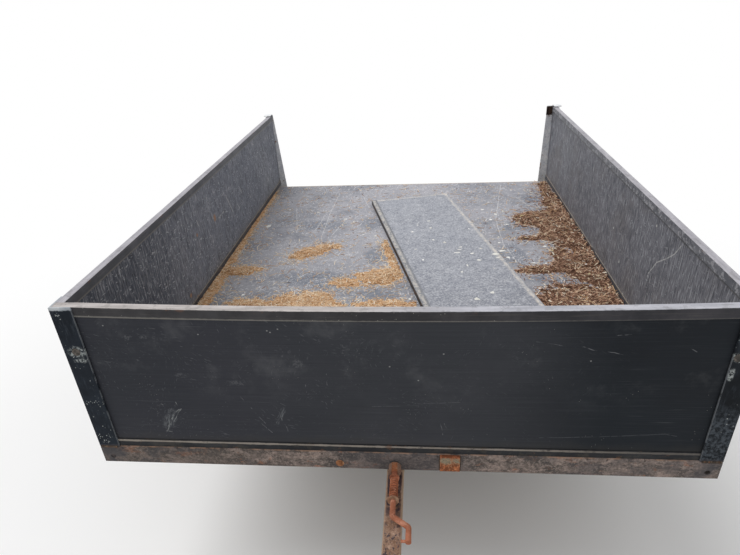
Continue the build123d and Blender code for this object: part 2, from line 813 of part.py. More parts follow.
# Latch: two guides on the tongue, the spring and the bolt with its bent handle
ring_rear = front_y + ring_at + ring_length
Guide = namedtuple("Guide", "label diameter rear length base")
GUIDES = (
    Guide("latch_collar", collar_diameter, front_y - collar_gap, collar_length, collar_base),
    Guide("latch_ring", ring_diameter, ring_rear, ring_length, ring_base),
)
for guide in GUIDES:
    with BuildPart() as latch_guide:
        with BuildSketch(along(guide.rear)):
            with Locations((0, (tongue_top + bolt_z) / 2)):
                Rectangle(guide.base, bolt_rise)
            with Locations((0, bolt_z)):
                Circle(guide.diameter / 2)
                Circle(bolt_diameter / 2 + guide_clearance, mode=Mode.SUBTRACT)
        extrude(amount=guide.length)
    keep(latch_guide, guide.label)

washer_front = front_y + washer_at - washer_length
with BuildPart() as latch_bolt:
    with BuildLine() as bolt_path:
        FilletPolyline(
            (0, front_y + bolt_past_face, bolt_z),
            (0, front_y + handle_bend_at, bolt_z),
            (handle_offset, front_y + handle_bend_at - handle_jog, bolt_z),
            (handle_offset, front_y + handle_end_at, bolt_z),
            radius=handle_bend_radius,
        )
    with BuildSketch(along(front_y + bolt_past_face)):
        with Locations((0, bolt_z)):
            Circle(bolt_diameter / 2)
    sweep(path=bolt_path.wires()[0])
    with BuildSketch(along(front_y + washer_at)):
        with Locations((0, bolt_z)):
            Circle(washer_diameter / 2)
    extrude(amount=washer_length)
    with BuildSketch(across(handle_offset + bolt_diameter / 2 - handle_cross)):
        with Locations((front_y + handle_end_at + handle_pin / 2, bolt_z)):
            Circle(handle_pin / 2)
    extrude(amount=handle_cross)
keep(latch_bolt, "latch_bolt")

coil_start = ring_rear + wire_diameter / 2 + side_clearance
coil_height = washer_front - wire_diameter / 2 - side_clearance - coil_start
with BuildPart() as latch_spring:
    with BuildLine() as coil_path:
        Helix(coil_pitch, coil_height, coil_radius, center=(0, coil_start, bolt_z), direction=(0, 1, 0))
    with BuildSketch(Plane(origin=coil_path.line @ 0, z_dir=coil_path.line % 0)):
        Circle(wire_diameter / 2)
    sweep(path=coil_path.wires()[0], is_frenet=True)
keep(latch_spring, "latch_spring")
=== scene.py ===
import math
import random

import bmesh
import bpy
import numpy as np
from mathutils import Matrix, Vector


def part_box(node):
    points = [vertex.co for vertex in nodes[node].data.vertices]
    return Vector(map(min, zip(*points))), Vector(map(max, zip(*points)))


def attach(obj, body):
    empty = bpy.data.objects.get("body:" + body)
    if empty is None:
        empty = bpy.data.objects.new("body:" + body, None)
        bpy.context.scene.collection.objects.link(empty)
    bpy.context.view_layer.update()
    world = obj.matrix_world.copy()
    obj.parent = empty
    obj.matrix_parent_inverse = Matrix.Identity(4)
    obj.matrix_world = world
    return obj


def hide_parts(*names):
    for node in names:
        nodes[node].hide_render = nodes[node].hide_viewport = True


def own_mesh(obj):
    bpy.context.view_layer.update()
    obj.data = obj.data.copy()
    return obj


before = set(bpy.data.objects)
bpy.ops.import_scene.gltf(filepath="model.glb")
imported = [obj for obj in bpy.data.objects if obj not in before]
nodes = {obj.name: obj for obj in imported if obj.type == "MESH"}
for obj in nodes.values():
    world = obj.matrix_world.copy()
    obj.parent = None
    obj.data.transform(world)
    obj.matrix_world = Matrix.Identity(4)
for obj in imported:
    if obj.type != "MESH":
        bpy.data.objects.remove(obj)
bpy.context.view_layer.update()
random.seed(11)
rng = np.random.default_rng(11)


# Places, in metres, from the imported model
def low(name):
    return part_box(name)[0]


def high(name):
    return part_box(name)[1]


FRONT = low("front_post_left").y
DECK = high("floor").z
FLOOR_FRONT, FLOOR_REAR = low("floor").y, high("floor").y
BED_MIDDLE = (low("floor") + high("floor")) / 2
CAP_LOW, CAP_TOP = low("front_cap").z, high("front_cap").z
FOOT_TOP = high("front_foot_channel").z
RAIL_LOW, RAIL_TOP = low("front_rail").z, high("front_rail").z
POST_IN, POST_OUT = low("front_post_right").x, high("front_post_right").x
WALL_IN = low("side_cap_right").x
BOARD_BACK = high("front_panel").y
TONGUE_LOW, TONGUE_TOP = low("tongue").z, high("tongue").z
TONGUE_HALF = high("tongue").x
TONGUE_TIP = low("tongue").y
MEMBER_LOW = low("tilt_member").z
MEMBER_END = high("tilt_member").x
WHEEL_X, WHEEL_Z = 0.75, (low("axle").z + high("axle").z) / 2
WHEEL_Y = (low("axle").y + high("axle").y) / 2
AXIS = (0, low("axle").y + 0.0239, 0.3)  # the middle of the paint that runs round the wheels
SIDES = (("left", -1), ("right", 1))

# The loose tailgate: its far left corner, its turn and its size
GATE_CORNER = Vector((-0.231, 1.350))
GATE_TURN = math.radians(14.0)
GATE_LENGTH, GATE_WIDTH = 1.8, 0.485
GATE_ALONG = Vector((math.sin(GATE_TURN), -math.cos(GATE_TURN)))
GATE_ACROSS = Vector((math.cos(GATE_TURN), math.sin(GATE_TURN)))
GATE_TOP = high("tailgate_panel").z

WHITE = (1, 1, 1, 1)
MATERIALS = {}


def srgb(code):
    """A hex colour as the linear colour that the shader takes."""
    parts = [int(code[i:i + 2], 16) / 255 for i in (0, 2, 4)]
    return tuple(c / 12.92 if c <= 0.04045 else ((c + 0.055) / 1.055) ** 2.4 for c in parts) + (1.0,)


class Nodes:
    """Shader nodes, built from short calls."""

    def __init__(self, tree):
        self.tree = tree

    def put(self, socket, value):
        """Links or sets an input; a colour may be a hex code, and (value, start, end) stands for a step."""
        if isinstance(value, str):
            value = srgb(value)
        elif isinstance(value, tuple) and isinstance(value[0], bpy.types.NodeSocket):
            value = self.step(*value)
        if isinstance(value, bpy.types.NodeSocket):
            self.tree.links.new(value, socket)
        else:
            socket.default_value = value

    def node(self, kind, inputs=None, out=0, **settings):
        """One output of a new node, or the node itself where it has none."""
        node = self.tree.nodes.new("ShaderNode" + kind)
        for name, value in settings.items():
            setattr(node, name, value)
        for name, value in (inputs or {}).items():
            self.put(node.inputs[name], value)
        return node.outputs[out] if node.outputs else node

    def math(self, operation, a, b=0.0, clamp=False):
        return self.node("Math", {0: a, 1: b}, operation=operation, use_clamp=clamp)

    def times(self, *values):
        result = values[0]
        for value in values[1:]:
            result = self.math("MULTIPLY", result, value)
        return result

    def most(self, *values):
        result = values[0]
        for value in values[1:]:
            result = self.math("MAXIMUM", result, value)
        return result

    def step(self, value, start, end):
        """0 before start and 1 past end, whichever of the two is larger."""
        before, after = (1.0, 0.0) if start > end else (0.0, 1.0)
        return self.node("MapRange", {"Value": value, "From Min": min(start, end), "From Max": max(start, end),
                                      "To Min": before, "To Max": after}, interpolation_type="SMOOTHSTEP")

    def seen(self):
        """1 for rays that come straight from the camera, or by way of gloss or glass."""
        rays = ("Camera", "Glossy", "Transmission")
        return self.most(*(self.node("LightPath", out=f"Is {ray} Ray") for ray in rays))


class Paint(Nodes):
    """One material."""

    def __init__(self, name, roughness, specular):
        self.name = name
        self.material = bpy.data.materials.new(name)
        self.material.use_nodes = True
        super().__init__(self.material.node_tree)
        self.shader = self.tree.nodes["Principled BSDF"]
        self.shader.inputs["Roughness"].default_value = roughness
        self.shader.inputs["Specular IOR Level"].default_value = specular
        self.at = self.node("TexCoord", out="Object")
        self.normal = self.node("TexCoord", out="Normal")
        self.x, self.y, self.z = (self.axis(name) for name in "XYZ")

    def vector(self, operation, a, b=(0.0, 0.0, 0.0), out="Vector"):
        return self.node("VectorMath", {0: a, 1: b}, out, operation=operation)

    def flat(self, u, v):
        """A vector from two coordinates."""
        return self.node("CombineXYZ", {0: u, 1: v})

    def stretch(self, x, y, z, turn=0.0, vector=None):
        """Places turned about Z, then multiplied along each axis."""
        return self.node("Mapping", {"Vector": vector or self.at, "Rotation": (0, 0, turn),
                                     "Scale": (1 / x, 1 / y, 1 / z)}, vector_type="TEXTURE")

    def axis(self, name, vector=None):
        return self.node("SeparateXYZ", {0: vector or self.at}, name)

    def noise(self, scale, detail=4.0, rough=0.55, vector=None):
        return self.node("TexNoise", {"Vector": vector or self.at, "Scale": scale, "Detail": detail,
                                      "Roughness": rough})

    def grain(self, x, y, z, detail, rough):
        """Noise with its own scale along each axis."""
        return self.noise(1.0, detail, rough, self.stretch(x, y, z))

    def cells(self, scale):
        return self.node("TexVoronoi", {"Vector": self.at, "Scale": scale}, "Distance")

    def mix(self, factor, a, b):
        return self.node("Mix", {0: factor, 6: a, 7: b}, 2, data_type="RGBA")

    def layers(self, base, *rows):
        """A base with layers over it; each row is a colour and what its share is multiplied from."""
        for colour, *masks in rows:
            base = self.mix(self.times(*masks), base, colour)
        return base

    def between(self, factor, a, b):
        """A number from a, where the factor is 0, to b, where it is 1."""
        return self.math("ADD", self.math("MULTIPLY", factor, b - a), a)

    def ragged(self, value, amount, *noise):
        """A value that noise adds to."""
        return self.math("ADD", value, self.times(self.noise(*noise), amount))

    def patches(self, scale, share, soft=0.04, detail=5, rough=0.65, vector=None):
        """Ragged patches; a larger share covers more."""
        return self.step(self.noise(scale, detail, rough, vector), 0.64 - share * 0.3, 0.64 - share * 0.3 + soft)

    def wisps(self, place, turns, long=30.0, fine=240.0, cover=0.5, start=0.63):
        """Fine short strokes at several angles in the plane of a place, in loose clusters."""
        found = []
        for i, turn in enumerate(turns):
            shifted = self.vector("ADD", place, (1.7 * i, 0.9 * i, 2.3 * i))
            lines = self.noise(1.0, 2.0, 0.5, self.stretch(fine, long, 1.0, turn, shifted))
            edge = 0.66 - cover * 0.3
            clusters = (self.noise(6.5, 3, 0.6, shifted), edge, edge + 0.12)
            found.append(self.times((lines, start, start + 0.07), clusters))
        return self.most(*found)

    def near(self, value, place, width, ragged=0.6, scale=60.0):
        """1 within a ragged width of a place along one coordinate."""
        away = self.math("ABSOLUTE", self.math("SUBTRACT", value, place))
        reach = width * (1 + ragged)
        return self.step(self.ragged(away, width * ragged * 2, scale, 4, 0.7), reach * 1.1, reach * 0.7)

    def faces(self, axis, sign, start=0.5, end=0.8):
        """1 where the surface looks along an axis."""
        return self.step(self.axis(axis, self.normal), sign * start, sign * end)

    def upright(self):
        """1 on upright faces, 0 on level ones."""
        return self.math("SUBTRACT", 1.0, self.math("ABSOLUTE", self.axis("Z", self.normal)), clamp=True)

    def inside(self):
        """1 on faces that look into the box, 0 on those that look away from it."""
        offset = self.vector("SUBTRACT", self.at, (BED_MIDDLE.x, BED_MIDDLE.y, 0))
        outward = self.vector("MULTIPLY", self.normal, (1, 1, 0))
        return self.step(self.vector("DOT_PRODUCT", offset, outward, "Value"), 0.0, -0.02)

    def from_axle(self):
        """The distance from the wheels' axis."""
        away = self.vector("MULTIPLY", self.vector("SUBTRACT", self.at, AXIS), (0, 1, 1))
        return self.vector("LENGTH", away, out="Value")

    def strokes(self, place, table, width, wander=0.006):
        """1 on thin worn lines; each row is the path of one, u, v, u, v ... in millimetres."""
        cloud = self.node("TexNoise", {"Vector": self.at, "Scale": 22}, "Color")
        shake = self.vector("SUBTRACT", cloud, (0.5, 0.5, 0.5))
        place = self.vector("ADD", place, self.node("VectorMath", {0: shake, "Scale": wander}, operation="SCALE"))
        found = []
        for path in table:
            points = [(u / 1000, v / 1000) for u, v in zip(path[::2], path[1::2])]
            for a, b in zip(points, points[1:]):
                run = Vector((b[0] - a[0], b[1] - a[1], 0))
                from_a = self.vector("SUBTRACT", place, (*a, 0))
                share = self.vector("DOT_PRODUCT", from_a, tuple(run / run.length_squared), "Value")
                share = self.math("ADD", share, 0.0, clamp=True)
                reach = self.node("VectorMath", {0: tuple(run), "Scale": share}, operation="SCALE")
                away = self.vector("DISTANCE", from_a, reach, "Value")
                found.append((away, width * 1.5, width * 0.5))
        return self.times(self.most(*found), (self.noise(90, 3, 0.7), 0.34, 0.5))

    def spots(self, place, table, ragged, scale, *halves):
        """1 in ragged spots; each row is u, v and the half sizes in millimetres, or these are the same for all."""
        rough = self.times(self.noise(scale, 5, 0.7), ragged * 2)
        found = []
        for row in table:
            u, v, half_u, half_v = (number / 1000 for number in (*row, *halves))
            offset = self.vector("SUBTRACT", place, (u, v, 0))
            offset = self.vector("MULTIPLY", offset, (1 / half_u, 1 / half_v, 0))
            away = self.math("ADD", self.vector("LENGTH", offset, out="Value"), rough)
            found.append((away, 1.0 + ragged, 0.5 + ragged))
        return self.most(*found)

    def gate_place(self):
        """Places along and across the tailgate, from its far left corner."""
        from_corner = self.vector("SUBTRACT", self.at, (*GATE_CORNER, 0))
        return [self.vector("DOT_PRODUCT", from_corner, (*way, 0), "Value") for way in (GATE_ALONG, GATE_ACROSS)]

    def done(self, colour, bump=None, rough=None):
        """Ends the material; the bump is a height, a strength and a distance."""
        self.put(self.shader.inputs["Base Color"], colour)
        if rough:
            self.put(self.shader.inputs["Roughness"], rough)
        if bump:
            height, strength, distance = bump
            self.put(self.shader.inputs["Normal"],
                     self.node("Bump", {"Height": height, "Strength": strength, "Distance": distance}))
        MATERIALS[self.name] = self.material


def front_board():
    """Black film on plywood: matt and scuffed outside, greyer inside."""
    p = Paint("front_board", 0.62, 0.1)
    place = p.flat(p.x, p.z)
    grain = p.grain(4, 4, 330, 4, 0.7)
    cloud = p.noise(2.6, 5, 0.6)
    left = p.mix((p.x, -0.55, -0.05), p.mix((cloud, 0.35, 0.68), "32343a", "3b3c42"),
        p.mix((cloud, 0.35, 0.68), "393b40", "434449"))
    thin = [(-445, 872, -416, 823, -386, 769), (-342, 832, -334, 796, -320, 733), (-407, 778, -370, 732),
        (-183, 967, -183, 925), (-248, 924, -246, 894), (-240, 905, -228, 872),
        (440, 1069, 479, 1061, 499, 1060, 521, 1054, 612, 1036), (556, 1095, 615, 1100), (770, 1053, 787, 1042),
        (137, 784, 144, 738), (149, 784, 158, 748)]
    faint = [(420, 734, 600, 744, 765, 758, 798, 750), (60, 858, 190, 868), (-60, 846, 75, 852),
        (380, 1080, 440, 1069)]
    scuff = [(-645, 817, -662, 802, -684, 775, -700, 744), (-652, 808, -674, 786, -690, 752),
        (-640, 820, -655, 795, -674, 770), (-688, 786, -692, 756, -703, 726), (-706, 726, -690, 722),
        (-698, 838, -692, 834), (-651, 845, -648, 832)]
    lean = p.stretch(1.0, 1.0, 1.0, -0.42, place)
    turned = p.flat(p.axis("X", lean), p.axis("Y", lean))
    soft = [(-739, 1078, 18, 12), (-689, 1082, 16, 10), (-610, 947, 20, 12), (-450, 924, 30, 14), (-259, 998, 20, 22),
        (-728, 1000, 8, 4)]
    dots = [(-527, 1095), (-800, 1117), (-330, 1111), (-322, 1106), (-300, 1117), (142, 1039), (526, 1016), (74, 946),
        (-4, 994)]
    outer = p.layers(p.mix((p.x, 0.22, 0.62), left, p.mix((cloud, 0.35, 0.68), "1e2126", "262a2f")),
        ("54565b", (grain, 0.52, 0.74), 0.14),
        ("1f2125", (grain, 0.5, 0.28), 0.2),
        ("7b7d80", (p.grain(5, 5, 420, 2, 0.5), 0.66, 0.74), p.patches(2.4, 0.45, 0.15), 0.24),  # hairs
        ("8b8c8e", (p.noise(5.5, 5, 0.65), 0.52, 0.72), (p.z, 0.8, 1.02), 0.16),  # haze
        ("7b7d80", p.wisps(place, (0.3, 0.9, 1.3, 2.2, 2.8), 44, 300, 0.5, 0.65), (p.x, 0.9, -0.5), 0.34),  # wear
        ("85868a", p.strokes(place, thin, 0.001, 0.012), 0.5),
        ("85868a", p.strokes(place, faint, 0.0008, 0.006), 0.28),
        ("9a9d9d", p.strokes(place, scuff, 0.0013, 0.012), 0.6),
        ("83878a", p.spots(turned, [(-942, 430, 24, 60), (-632, 595, 10, 50)], 0.7, 60),  # blur
         (p.noise(1.0, 3, 0.7, p.stretch(210, 34, 1, 0.0, turned)), 0.42, 0.66), 0.55),
        ("7b7d80", p.spots(place, soft, 0.8, 60), (p.noise(160, 3, 0.6), 0.42, 0.6), 0.26),  # soft marks
        ("a5a6a5", p.spots(place, dots, 0.3, 200, 3, 2.6), 0.6),  # chips
        ("4b4843", (p.ragged(p.z, 0.06, 14, 5), 0.76, 0.715), 0.25))  # low dirt
    base = p.layers(p.mix(p.inside(), outer, p.mix((grain, 0.3, 0.75), "48494f", "5b5c62")),
        ("a9a8a4", (p.cells(95), 0.11, 0.06), p.patches(7, 0.25), 0.5),  # specks
        ("6b5a48", p.faces("Z", 1)))  # edge
    p.done(base, (grain, 0.06, 0.0005), (cloud, -0.7, 1.2))


def side_board():
    """The same film on the sides: bluish and flecked on the left, brushed and browner on the right."""
    p = Paint("side_board", 0.6, 0.16)
    place = p.flat(p.y, p.z)
    grain = p.grain(150, 150, 20, 4, 0.7)
    broad = p.grain(14, 14, 5, 4, 0.6)
    cloud = p.noise(2.4, 5, 0.6)
    on_left = p.step(p.x, 0.1, -0.1)
    # The left wall's inner face is painted darker towards the front wall: painted shade.
    left = p.layers(p.mix((p.y, -0.3, 0.3), "575b65", "787c87"), ("757882", (p.y, 0.7, 1.5)))
    left_marks = [(703, 1008, 772, 889), (461, 1084, 474, 1050), (935, 970, 945, 935), (1080, 875, 1092, 850),
        (1480, 850, 1494, 822), (850, 905, 885, 868), (310, 1030, 322, 1000), (430, 745, 446, 722),
        (560, 940, 640, 944), (484, 722, 500, 700), (343, 785, 352, 760)]
    right_marks = [(-209, 1127, -177, 1082, -120, 1035, -66, 996, -20, 929, -17, 912), (272, 840, 276, 822),
        (173, 740, 176, 722)]
    dots = [(-6, 1111), (272, 829), (173, 727), (-333, 1150), (815, 710), (400, 930)]
    pale = [(465, 1052, 50, 50), (520, 975, 20, 12), (280, 1170, 20, 10)]
    pale = p.times(on_left, p.spots(place, pale, 0.7, 40), (p.noise(90, 4, 0.7), 0.38, 0.6))
    pink = [(514, 961, 18, 22), (285, 971, 10, 10), (99, 768, 12, 14), (161, 725, 14, 10)]
    pink = p.times(on_left, p.spots(place, pink, 0.6, 60))
    outer = p.mix((cloud, 0.35, 0.68), "33353a", "3f4146")
    inner = p.layers(p.mix(on_left, p.mix((p.y, -0.2, 1.2), "6e6f76", "696a71"), left),
        ("8b8c92", (broad, 0.5, 0.68), 0.28),
        ("43454b", (broad, 0.5, 0.32), 0.28),
        ("a8a9ae", (grain, 0.5, 0.68), 0.85),
        ("34363b", (grain, 0.5, 0.32), 0.75),
        ("c3c6ca", p.wisps(place, (1.57, 1.75, 1.25), 40, 150, 0.9, 0.65), p.between(on_left, 0.32, 0.68)),  # dashes
        ("c3c6ca", (p.cells(52), 0.2, 0.1), p.patches(9, 0.62, 0.1), p.between(on_left, 0.15, 0.7)),  # flecks
        ("7d7267", (p.ragged(p.z, 0.1, 16, 5), 0.82, 0.75), 0.3),  # low dust
        ("665d56", p.patches(4.2, 0.5, 0.2), (p.x, 0.0, 0.3), 0.22),  # brown
        ("c2c2c0", p.mix(on_left, p.strokes(place, right_marks, 0.002), p.strokes(place, left_marks, 0.0026)), 0.7),
        ("c9c9c6", p.math("SUBTRACT", 1.0, on_left), p.spots(place, dots, 0.3, 150, 6, 6), 0.8),  # chips
        ("a7abb3", pale, 0.5),
        ("a8805f", pink, 0.8))
    outer = p.layers(outer,
        ("5a5c61", (p.grain(4, 4, 330, 4, 0.7), 0.52, 0.74), 0.3),  # long grain
        ("85878a", p.wisps(place, (0.3, 1.3, 2.4), 34, 250, 0.5), 0.4),
        ("57524b", (p.z, 0.8, 0.7), 0.4))
    base = p.layers(p.mix(p.inside(), outer, inner), ("8a7458", p.most(p.faces("Z", 1), p.faces("Y", 1))))
    p.done(base, (grain, 0.1, 0.0006), (cloud, -0.7, 1.2))


def floor_board():
    """Scuffed film, bluish where it is worn least, with straw dust along the sides and the front."""
    p = Paint("floor_board", 0.5, 0.3)
    place = p.flat(p.x, p.y)
    cloud = p.noise(1.9, 6, 0.65)
    fine = p.noise(60, 5, 0.75)
    blue = [(-440, 370, 200, 110), (-140, 620, 90, 140), (-120, 220, 160, 60), (530, 620, 100, 160),
        (600, 360, 70, 50), (600, 980, 100, 80), (760, 1380, 90, 90), (-500, 1020, 180, 100), (-200, 1050, 100, 120)]
    lines = p.most(p.wisps(place, (0.1, 1.0, 2.6, 2.1), 14, 190, 0.75, 0.65),
        p.wisps(place, (0.5, 1.7, 2.9), 40, 200, 0.9, 0.62))
    marks = [(-462, 1564, -474, 1200, -470, 831), (600, 1670, 500, 1070, 500, 740, 540, 530), (-700, 1300, -620, 920),
        (-300, 1500, -240, 1280), (660, 1450, 740, 1200), (-500, 1180, -520, 950), (-360, 1120, -420, 860),
        (300, 1620, 200, 1500)]
    wave = p.times(p.noise(9, 5), 0.16)
    # Lighter towards the rear: painted shade near the front wall and painted sheen further back.
    base = p.layers(p.mix((p.y, -0.2, 1.2), "97979d", "a2a2aa"),
        ("b5b4ba", (cloud, 0.46, 0.7), 0.5),
        ("6f747f", (cloud, 0.5, 0.34), 0.6),
        ("6b707c", (p.noise(4.4, 6, 0.72), 0.52, 0.66), 0.5),  # dark
        ("c4c3c6", (fine, 0.5, 0.76), 0.6),
        ("5f636d", (fine, 0.48, 0.26), 0.5),
        ("5f6979", p.spots(place, blue, 0.8, 7), 0.5),
        ("dfdee1", lines, 0.85),
        ("484b54", p.wisps(place, (0.8, 2.4), 26, 150, 0.4, 0.66), 0.5),  # dents
        ("dad9da", p.strokes(place, marks, 0.0022, 0.01), 0.7),
        ("e0dfde", (p.cells(48), 0.13, 0.07), p.patches(5, 0.5, 0.1), 0.8),  # flecks
        ("96805f", p.most(p.times((p.math("ADD", p.math("ABSOLUTE", p.x), wave), 0.945, 1.01), 0.65),
         p.times((p.math("SUBTRACT", p.y, wave), 0.0, -0.4), 0.5))),
        ("b39a78", (p.cells(130), 0.2, 0.1), p.patches(4.5, 0.5, 0.1), (p.y, 1.4, 0.5), 0.7),  # crumbs
        ("b8a68c", p.near(p.y, FLOOR_REAR, 0.009, 0.7, 30), 0.75),  # rear edge
        (p.mix((p.grain(6, 60, 6, 5, 0.6), 0.35, 0.7), "6f5c45", "94805f"), p.faces("Z", -1)),  # underside
        (p.mix((p.grain(9, 9, 300, 4, 0.7), 0.35, 0.65), "3c342c", "6d5d4b"), (p.upright(), 0.3, 0.6)))  # sawn edge
    p.done(base, (p.most(fine, lines), 0.2, 0.0008), (fine, -0.6, 1.3))


def gate_board():
    """The tailgate's film, scuffed all over, with ragged bare wood along its edges."""
    p = Paint("gate_board", 0.55, 0.25)
    place = p.flat(p.x, p.y)
    along, across = p.gate_place()
    fine = p.noise(105, 5, 0.8)
    middle = p.noise(24, 5, 0.7)
    wide = p.between((along, 0.1, 0.7), 0.003, 0.0)
    worn = p.most(p.near(p.math("ADD", across, wide), GATE_WIDTH - 0.0115, 0.0115, 1.2, 20),
        p.near(along, 0.012, 0.01, 0.9, 20), p.near(along, GATE_LENGTH, 0.007))
    worn = p.times(worn, (p.noise(80, 5, 0.78), 0.38, 0.52))
    base = p.layers(p.mix((along, 0.4, 1.7), "9c9fa9", "90929b"),
        ("a7aab4", (p.noise(2.6, 5, 0.6), 0.42, 0.68), 0.5),
        ("b9bbc2", (middle, 0.5, 0.68), 0.65),
        ("7b7f8a", (middle, 0.5, 0.32), 0.65),
        ("d8dade", (fine, 0.5, 0.68), 0.85),
        ("656973", (fine, 0.5, 0.32), 0.8),
        ("dcdcde", p.most(p.wisps(place, (0.6, 1.9, 2.8), 16, 200, 0.7, 0.65),  # lines
         p.wisps(place, (0.2, 1.2, 2.3), 44, 230, 0.85, 0.63)), 0.55),
        ("5b5e68", p.wisps(place, (0.9, 2.5), 24, 160, 0.5, 0.66), 0.5),
        ("e6e5e2", (p.cells(60), 0.13, 0.07), p.patches(8, 0.5, 0.1), 0.7),  # flecks
        (p.mix(p.patches(26, 0.4), "c9c5c1", "e2dad0"), worn, 0.85),
        (p.mix((p.grain(8, 8, 420, 3, 0.6), 0.45, 0.6), "6b5844", "9a8367"), (p.upright(), 0.3, 0.6)))  # sawn sides
    p.done(base, (fine, 0.15, 0.0008))


def gate_channel():
    """The channel on the tailgate's edge: grey, with a ragged tan line along it, and its side painted dark as rust
    and painted shade.
    """
    p = Paint("gate_channel", 0.5, 0.25)
    along, across = p.gate_place()
    base = p.layers(p.mix((p.noise(9, 5, 0.65), 0.35, 0.68), "7b7d83", "92949a"),
        ("5c5e63", p.patches(60, 0.45, 0.1), 0.5),
        ("b3b3b5", (p.noise(150, 4, 0.8), 0.5, 0.7), 0.5),
        ("c9c4bd", p.near(across, 0.0135, 0.0105, 0.9, 16), (p.noise(60, 5, 0.75), 0.42, 0.54), 0.85),  # tan
        (p.mix(p.patches(30, 0.4, 0.1), "33302e", "5c4737"),  # outer side and strip, painted dark: rust and painted shade
         p.most((p.upright(), 0.3, 0.6), (p.ragged(across, 0.004, 40, 4, 0.7), 0.0045, 0.003))))
    p.done(base, (p.noise(60, 4), 0.1, 0.001))


def cap_steel():
    """Black channel, worn to bare metal on top, with a painted highlight along its lower edge and a painted shadow
    line along the foot of the right one's inner leg.
    """
    p = Paint("cap_steel", 0.5, 0.1)
    cloud = p.noise(11, 5, 0.65)
    streak = p.grain(5, 5, 190, 5, 0.7)
    right = p.mix((cloud, 0.35, 0.7), "343438", "434246")
    right_inner = p.mix((cloud, 0.35, 0.7), "606268", "7a7b81")
    outer = p.layers(p.mix((p.x, -0.1, 0.7), p.mix((cloud, 0.35, 0.7), "383739", "464547"), right),
        ("5f5c58", (streak, 0.54, 0.7), 0.35))
    right_inner = p.layers(right_inner,
        ("adadb1", p.patches(60, 0.4, 0.06), 0.65),
        ("3a3b40", p.patches(52, 0.3, 0.06, 5, 0.65, p.vector("ADD", p.at, (2.0, 5.0, 1.0))), 0.5),
        # painted shadow: a dark line along the foot of the right cap's inner leg
        ("35363a", (p.z, CAP_LOW + 0.006, CAP_LOW + 0.002), 0.8))
    inner = p.layers(p.mix((p.x, 0.0, 0.6), p.mix((cloud, 0.35, 0.7), "54565b", "66676d"), right_inner),
        ("8b8b8e", (streak, 0.52, 0.7), 0.4))
    cool = p.mix((p.grain(6, 60, 6, 5, 0.7), 0.3, 0.7), "a6a7af", "c6c6ce")
    bare = p.mix((p.x, -0.2, 0.25), p.mix((p.grain(6, 60, 6, 5, 0.7), 0.3, 0.7), "a9a3a1", "ccc6c4"), cool)
    on_front = p.step(p.y, FLOOR_FRONT + 0.002, FLOOR_FRONT - 0.002)
    bare = p.mix(on_front, p.mix((p.grain(60, 6, 6, 5, 0.7), 0.3, 0.7), "9d9ba2", "bbb9bf"), bare)
    base = p.layers(p.mix(p.inside(), outer, inner),
        # painted highlight: a light line along the lower edge, stronger to the left
        ("8b8882", (p.ragged(p.math("SUBTRACT", p.math("SUBTRACT", p.z, CAP_LOW), p.times((p.x, 0.7, -0.9), 0.003)),
         0.007, 34, 5, 0.75), 0.0072, 0.003), p.between((p.x, 0.7, 0.1), 0.26, 0.62)),
        ("b9b6ae", (p.cells(90), 0.12, 0.06), p.patches(8, 0.35), 0.7),  # specks
        ("7a5642", p.patches(26, 0.12), (p.z, CAP_TOP - 0.012, CAP_TOP), 0.5))  # rust
    bare = p.layers(bare, ("6b6866", p.patches(30, 0.3), 0.25))
    base = p.mix((p.ragged(p.z, 0.003, 50, 4, 0.7), CAP_TOP, CAP_TOP + 0.0014), base, bare)
    p.done(base, (p.noise(60, 4), 0.1, 0.001))


def post_steel():
    """Blue-black paint on the front angles, with wear at their edges, bolts and ends."""
    p = Paint("post_steel", 0.5, 0.06)
    place = p.flat(p.x, p.z)
    cloud = p.noise(13, 5, 0.65)
    streak = p.grain(120, 120, 22, 4, 0.7)
    right = p.mix((cloud, 0.35, 0.7), "15181c", "24282d")
    side = p.math("ABSOLUTE", p.x)
    smear = [(-902, 1028, 34, 24), (-900, 998, 22, 10), (884, 976, 10, 24), (890, 1029, 20, 18)]
    row_specks = p.times((p.cells(150), 0.3, 0.18), p.spots(place,
        [(-905, 840, 40, 14), (-915, 700, 30, 30), (-915, 1150, 20, 20)], 0.5, 50))
    base = p.layers(p.mix((p.x, -0.2, 0.2), p.mix((cloud, 0.35, 0.7), "1b2027", "2a3038"), right),
        ("4a515a", (streak, 0.52, 0.72), 0.4),
        ("5f666e", (p.z, 0.9, 0.78), (p.x, 0.0, 0.4), (p.noise(70, 5, 0.75), 0.42, 0.6), 0.55),  # grey foot
        ("8f9398", p.most(p.times(p.near(side, POST_IN + 0.0003, 0.0007, 0.6, 60), p.patches(14, 0.8, 0.1)),
         p.times(p.near(side, POST_OUT, 0.0009, 0.8, 60), p.patches(24, 0.3, 0.08))), 0.5),
        ("b4bab9", p.spots(place, smear, 0.7, 50), (p.noise(110, 4, 0.7), 0.42, 0.58), 0.75),  # smears
        ("c3c8c6", p.most(p.times((p.cells(75), 0.17, 0.08), p.patches(10, 0.5, 0.08), (p.z, 1.16, 1.0)), row_specks),
         0.75),
        ("5c5a5e", (p.ragged(p.z, 0.02, 30, 5, 0.7), 0.684, 0.676), 0.5),  # foot
        (p.mix((cloud, 0.35, 0.65), "a3aab2", "d3d7da"), (p.ragged(p.z, 0.012, 55, 5, 0.7), CAP_TOP - 0.005, CAP_TOP),
         0.9))
    p.done(base, (p.most(cloud, streak), 0.1, 0.0008), (cloud, -0.5, 1.4))


